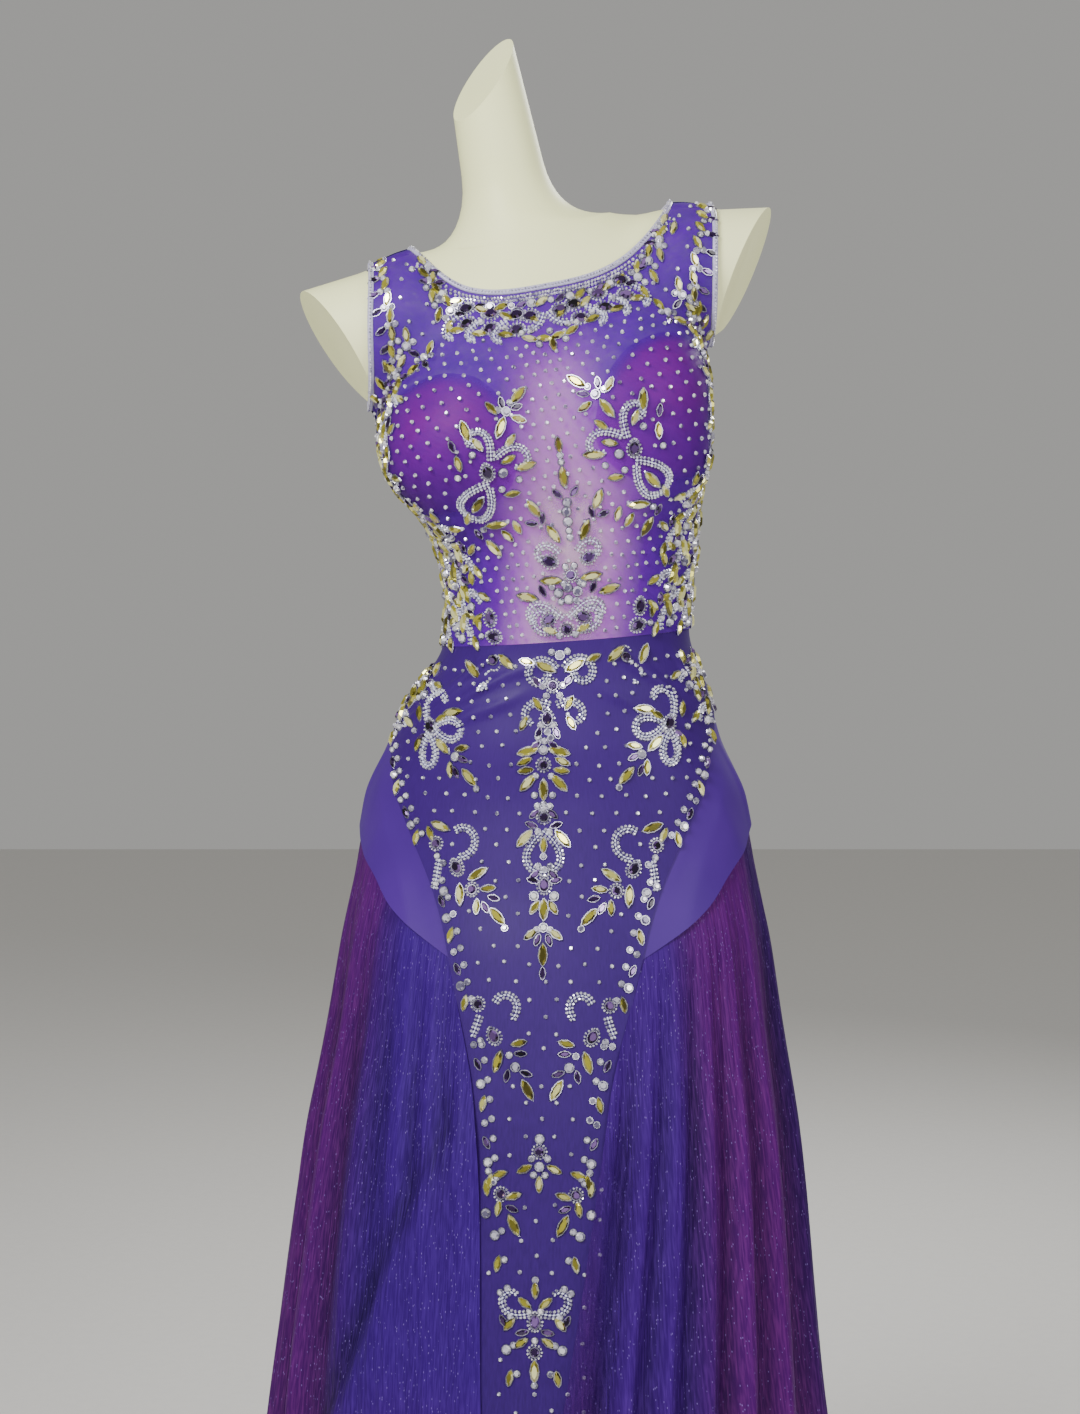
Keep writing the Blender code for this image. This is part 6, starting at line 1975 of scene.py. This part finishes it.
def adorn(region, ornament, turn, rise, heading):
    """Lays one ornament, on both sides where it lies off centre front."""
    for side in (1, -1) if turn > 0 else (1,):
        base = ground(region, turn * side, rise)
        spun = -math.radians(heading) * side
        for kind, x, y, way, *shape in ORNAMENTS[ornament]:
            for hand in (1, -1) if turn <= 0 and x else (1,):
                hand *= side
                px, py = spin(hand * x, y, spun)
                if kind == "scroll":
                    row_of(region, base, unroll_scroll(*shape, way), px, py, spun, hand)
                elif kind == "petal":
                    row_of(region, base, petal(*shape, way), px, py, spun, hand)
                else:
                    turned = math.radians(way if hand > 0 else 180 - way) + spun
                    lay(kind, region, base, px, py, turned)
                    if kind in HALOED:
                        halo(kind, region, base, px, py, turned)


for row in BODICE_ORNAMENTS:
    adorn("bodice", *row)
near_neck = FRONT_NECK[np.abs(FRONT_NECK[:, 0]) < NECK_ROW_END]
for i, base in enumerate(zip(*grounds("bodice", near_neck[:, 0], near_neck[:, 1] - NECK_ROW_DROP))):
    lay("crystal", "bodice", base, 0, 0, 0)
    lay("crystal", "bodice", base, *NECK_SECOND_ROW, 0)
    if i % 3 == 0:
        lay(NECK_STONES[i // 3 % len(NECK_STONES)], "bodice", base, *NECK_THIRD_ROW, 0.5)
for turn, low, high, count, heading in SIDE_VINES:
    for i, rise in enumerate(np.linspace(low, high, count)):
        adorn("bodice", "vine", turn, rise, heading if i % 2 else -heading)
for turn in BACK_FESTOONS:
    rise = float(np.interp(turn, BACK_NECK[:, 0], BACK_NECK[:, 1])) - FESTOON_DROP
    adorn("bodice", "festoon", turn, rise, -10.0)
for turn, rise in FRONT_ARM[6:-4:4]:
    adorn("bodice", "twig", turn - TWIG_INSET, rise - TWIG_DROP, 0.0)
for turn, rise in BACK_ARM[4:-6:6]:
    adorn("bodice", "twig", turn + TWIG_INSET, rise - TWIG_DROP, 0.0)
for row in PANEL_ORNAMENTS:
    adorn("panel", *row)
for low, high, count in TRAIL:
    for i, height in enumerate(np.linspace(low, high, count)):
        edge = float(parting(height, 1))
        kind, way = TRAIL_STONES[i % len(TRAIL_STONES)]
        for side in (1, -1):
            base = ground("panel", side * (edge - TRAIL_INSET), height)
            lay(kind, "panel", base, 0, 0, math.radians(way if side > 0 else 180 - way))
            lay("clear_small", "panel", base, -side * 6, 4, 0)

# Where loose rhinestones may lie: how far in from the bodice's edges in metres and from the panel's in turn,
# how far round the panel, how far under the sheer tulle, and up the centre, which the outline leaves out
BODICE_MARGIN = 0.004
PANEL_MARGIN = 1.5
PANEL_ROUND = 86.0
UNDER_TULLE = 0.5
CENTRE_TURN = 3
CENTRE_TOP = 1.355
LOOSE_ROWS = (
    # cloth, turns and rises as first, end and step, least distance from other stones
    ("bodice", (-174, 175, 6.0), (1.060, 1.40, 0.0108), 0.0060),
    ("panel", (-84, 85, 7.0), (0.030, 1.044, 0.0145), 0.0075),
)
taken = np.array([place[0] for places in laid.values() for place in places])


def scatter(region, turns, rises, limit, clear):
    """Loose rhinestones in staggered rows where no ornament lies."""
    turn, rise = np.meshgrid(turns, rises)
    turn[1::2] += (turns[1] - turns[0]) / 2
    turn, rise = turn.ravel(), rise.ravel()
    kept = limit(turn, rise)
    for base in zip(*grounds(region, turn[kept], rise[kept])):
        if np.linalg.norm(taken - base[0], axis=1).min() > clear:
            lay("rhinestone", region, base, *uneven.normal(0, LOOSE_SHIFT, 2), 0)


def within(turn, rise, outline):
    """Which places lie inside a bodice outline and clear of its edge."""
    spots, scale = np.stack([np.abs(turn), rise], axis=1), np.array([BODY_GIRTH, 1])
    return inside(spots, outline) & (clearance(spots * scale, outline * scale) > BODICE_MARGIN)


right_front = joined(
    straight((0, WAIST), (SIDE_SEAM, WAIST), 10),
    joined(SIDE_BODICE, FRONT_ARM[::-1], SHOULDER_SEAM),
    FRONT_NECK[FRONT_NECK[:, 0] >= 0][::-1],
)


def on_bodice_cloth(turn, rise):
    """Which places lie on the bodice and clear of its edges."""
    middle = (np.abs(turn) < CENTRE_TURN) & (rise < CENTRE_TOP)
    return within(turn, rise, right_front) | middle | within(turn, rise, back_edge)


def on_panel_cloth(turn, height):
    """Which places lie on the front panel and clear of its edges, or just under the sheer tulle."""
    left = -np.minimum(parting(height, -1), PANEL_ROUND) + PANEL_MARGIN
    edge = np.minimum(parting(height, 1), PANEL_ROUND)
    hidden = smooth(PANEL_EDGE, 4, height)
    seen = (turn > left) & (turn < edge - PANEL_MARGIN)
    return seen | (turn > edge) & (turn < edge + hidden * UNDER_TULLE)


for (region, turns, rises, clear), limit in zip(LOOSE_ROWS, (on_bodice_cloth, on_panel_cloth)):
    scatter(region, np.arange(*turns), np.arange(*rises), limit, clear)

# Glass: foiled behind, so it mirrors like metal under a tinted face; each facet gets a random tone from near
# black to white, as painted dark and bright reflections
glass = {}
for name, low, mid, high, metal, shine in (
    ("olive", "4C460A", "BAB23E", "FFFDB4", 0.55, 0.10),
    ("amethyst", "08020F", "2E1246", "8A66AA", 0.5, 0.08),
    ("clear", "6A6580", "D6D4E2", "FFFFFF", 0.4, 0.08),
):
    cut = new_material(f"foiled_{name}_glass")
    facet = add_node(cut, "Attribute", attribute_name="facet").outputs["Fac"]
    half = add_node(cut, "MapRange", {"Value": facet, 1: 0.15, 2: 0.5})
    full = add_node(cut, "MapRange", {"Value": facet, 1: 0.55, 2: 0.8})
    deep = add_node(cut, "Mix", {0: half.outputs[0], 6: low, 7: mid}, data_type="RGBA")
    look = {"Metallic": metal, "Roughness": shine, "Coat Weight": 0.6}
    finish(cut, full.outputs[0], (deep.outputs[2], high), look)
    glass[name] = cut

# Silver cups and white bugle beads: bright tin plate, and glass dyed milky lilac
silver_cup = new_material("tinned_stone_cups")
place = add_node(silver_cup, "TexCoord").outputs["Object"]
dull = add_node(silver_cup, "TexNoise", {"Vector": place, "Scale": 300, "Detail": 2})
rough = add_node(silver_cup, "MapRange", {"Value": dull.outputs["Fac"], 3: 0.18, 4: 0.36})
finish(
    silver_cup, dull.outputs["Fac"], ("77748A", "C9C6D6"),
    {"Metallic": 1.0, "Roughness": rough.outputs[0]},
)
milk_glass = new_material("milky_bugle_beads")
place = add_node(milk_glass, "TexCoord").outputs["Object"]
cloud = add_node(milk_glass, "TexNoise", {"Vector": place, "Scale": 260})
finish(milk_glass, cloud.outputs["Fac"], ("B9C0E6", "F2F3FF"), {"Roughness": 0.25, "Coat Weight": 0.4})

for kind, (length, width, height, sides, ends, tint) in STONES.items():
    points, faces = cut_stone(length, width, height, sides, ends)
    stone = (points + np.array([0, 0, STONE_LIFT]), faces)
    strew(f"stones_{kind}", stone, laid[kind], glass[tint])
    if kind != "rhinestone":
        size = (length + CUP_MARGIN, width + CUP_MARGIN, height * CUP_TALL)
        cup = cut_stone(*size, sides, ends, table=0.9)
        strew(f"cups_{kind}", cup, laid[kind], silver_cup)
crystal, bugle, edge_bead = (cut_stone(*shape) for shape in SMALL_BEADS.values())
strew("scroll_crystals", crystal, laid["crystal"], glass["clear"])
strew("bugle_beads", bugle, laid["bugle"], milk_glass, False)
places = []
for middle, normal, ahead in bead_lines:
    run = np.concatenate([[0], np.cumsum(np.linalg.norm(np.diff(middle, axis=0), axis=1))])
    at = np.arange(0.001, run[-1], BEAD_STEP)
    columns = [
        np.stack([np.interp(at, run, values[:, i]) for i in range(3)], axis=1)
        for values in (middle, normal, ahead)
    ]
    for p, n, a in zip(*columns):
        n = unit(n)
        places.append((p, unit(a - n * (a @ n)), n, 1.0))
strew("binding_beads", edge_bead, places, glass["clear"])

# Floor, light and camera
# A plain pale studio floor, a soft key light from the upper left, a fill, a rim and a small front light, and
# the camera at the photograph's angle.

paper = new_material("pale_floor")
place = add_node(paper, "TexCoord").outputs["Object"]
grain = add_node(paper, "TexNoise", {"Vector": place, "Scale": 60, "Detail": 4})
finish(paper, grain.outputs["Fac"], ("D9D7D3", "E0DEDA"), {"Roughness": 0.8})
bpy.ops.mesh.primitive_plane_add(size=14, location=(0, 0, 0))
floor = bpy.context.object
floor.name = "studio_floor"
floor.data.materials.append(paper)

world = bpy.data.worlds.new("studio")
bpy.context.scene.world = world
world.use_nodes = True
world.node_tree.nodes["Background"].inputs["Color"].default_value = colour("DAD9D6")
world.node_tree.nodes["Background"].inputs["Strength"].default_value = 0.52

LIGHTS = (
    # name, place, aim, size, watts
    ("key", (-1.1, -1.8, 2.4), (0, 0, 1.15), 0.9, 70),
    ("fill", (1.6, -1.8, 1.9), (0, 0, 1.1), 1.2, 22),
    ("rim", (1.2, 2.0, 2.4), (0, 0, 1.1), 1.0, 50),
    ("front", (0.1, -2.4, 1.6), (0, 0, 1.1), 0.4, 12),
)
for name, at, aim, size, watts in LIGHTS:
    bpy.ops.object.light_add(type="AREA", location=at)
    lamp = bpy.context.object
    lamp.name = f"{name}_light"
    lamp.data.size = size
    lamp.data.energy = watts
    lamp.rotation_euler = (Vector(aim) - Vector(at)).to_track_quat("-Z", "Y").to_euler()

PHOTO_TALL = 1.301
SENSOR = 36.0
EYE = Vector((-0.011, -2.4, 1.15))
AIM = Vector((-0.011, 0.0, 0.988))
bpy.ops.object.camera_add(location=EYE)
camera = bpy.context.object
camera.name = "photo_camera"
camera.rotation_euler = (AIM - EYE).to_track_quat("-Z", "Y").to_euler()
camera.data.sensor_width = SENSOR
camera.data.lens = SENSOR * (AIM - EYE).length / PHOTO_TALL
bpy.context.scene.camera = camera
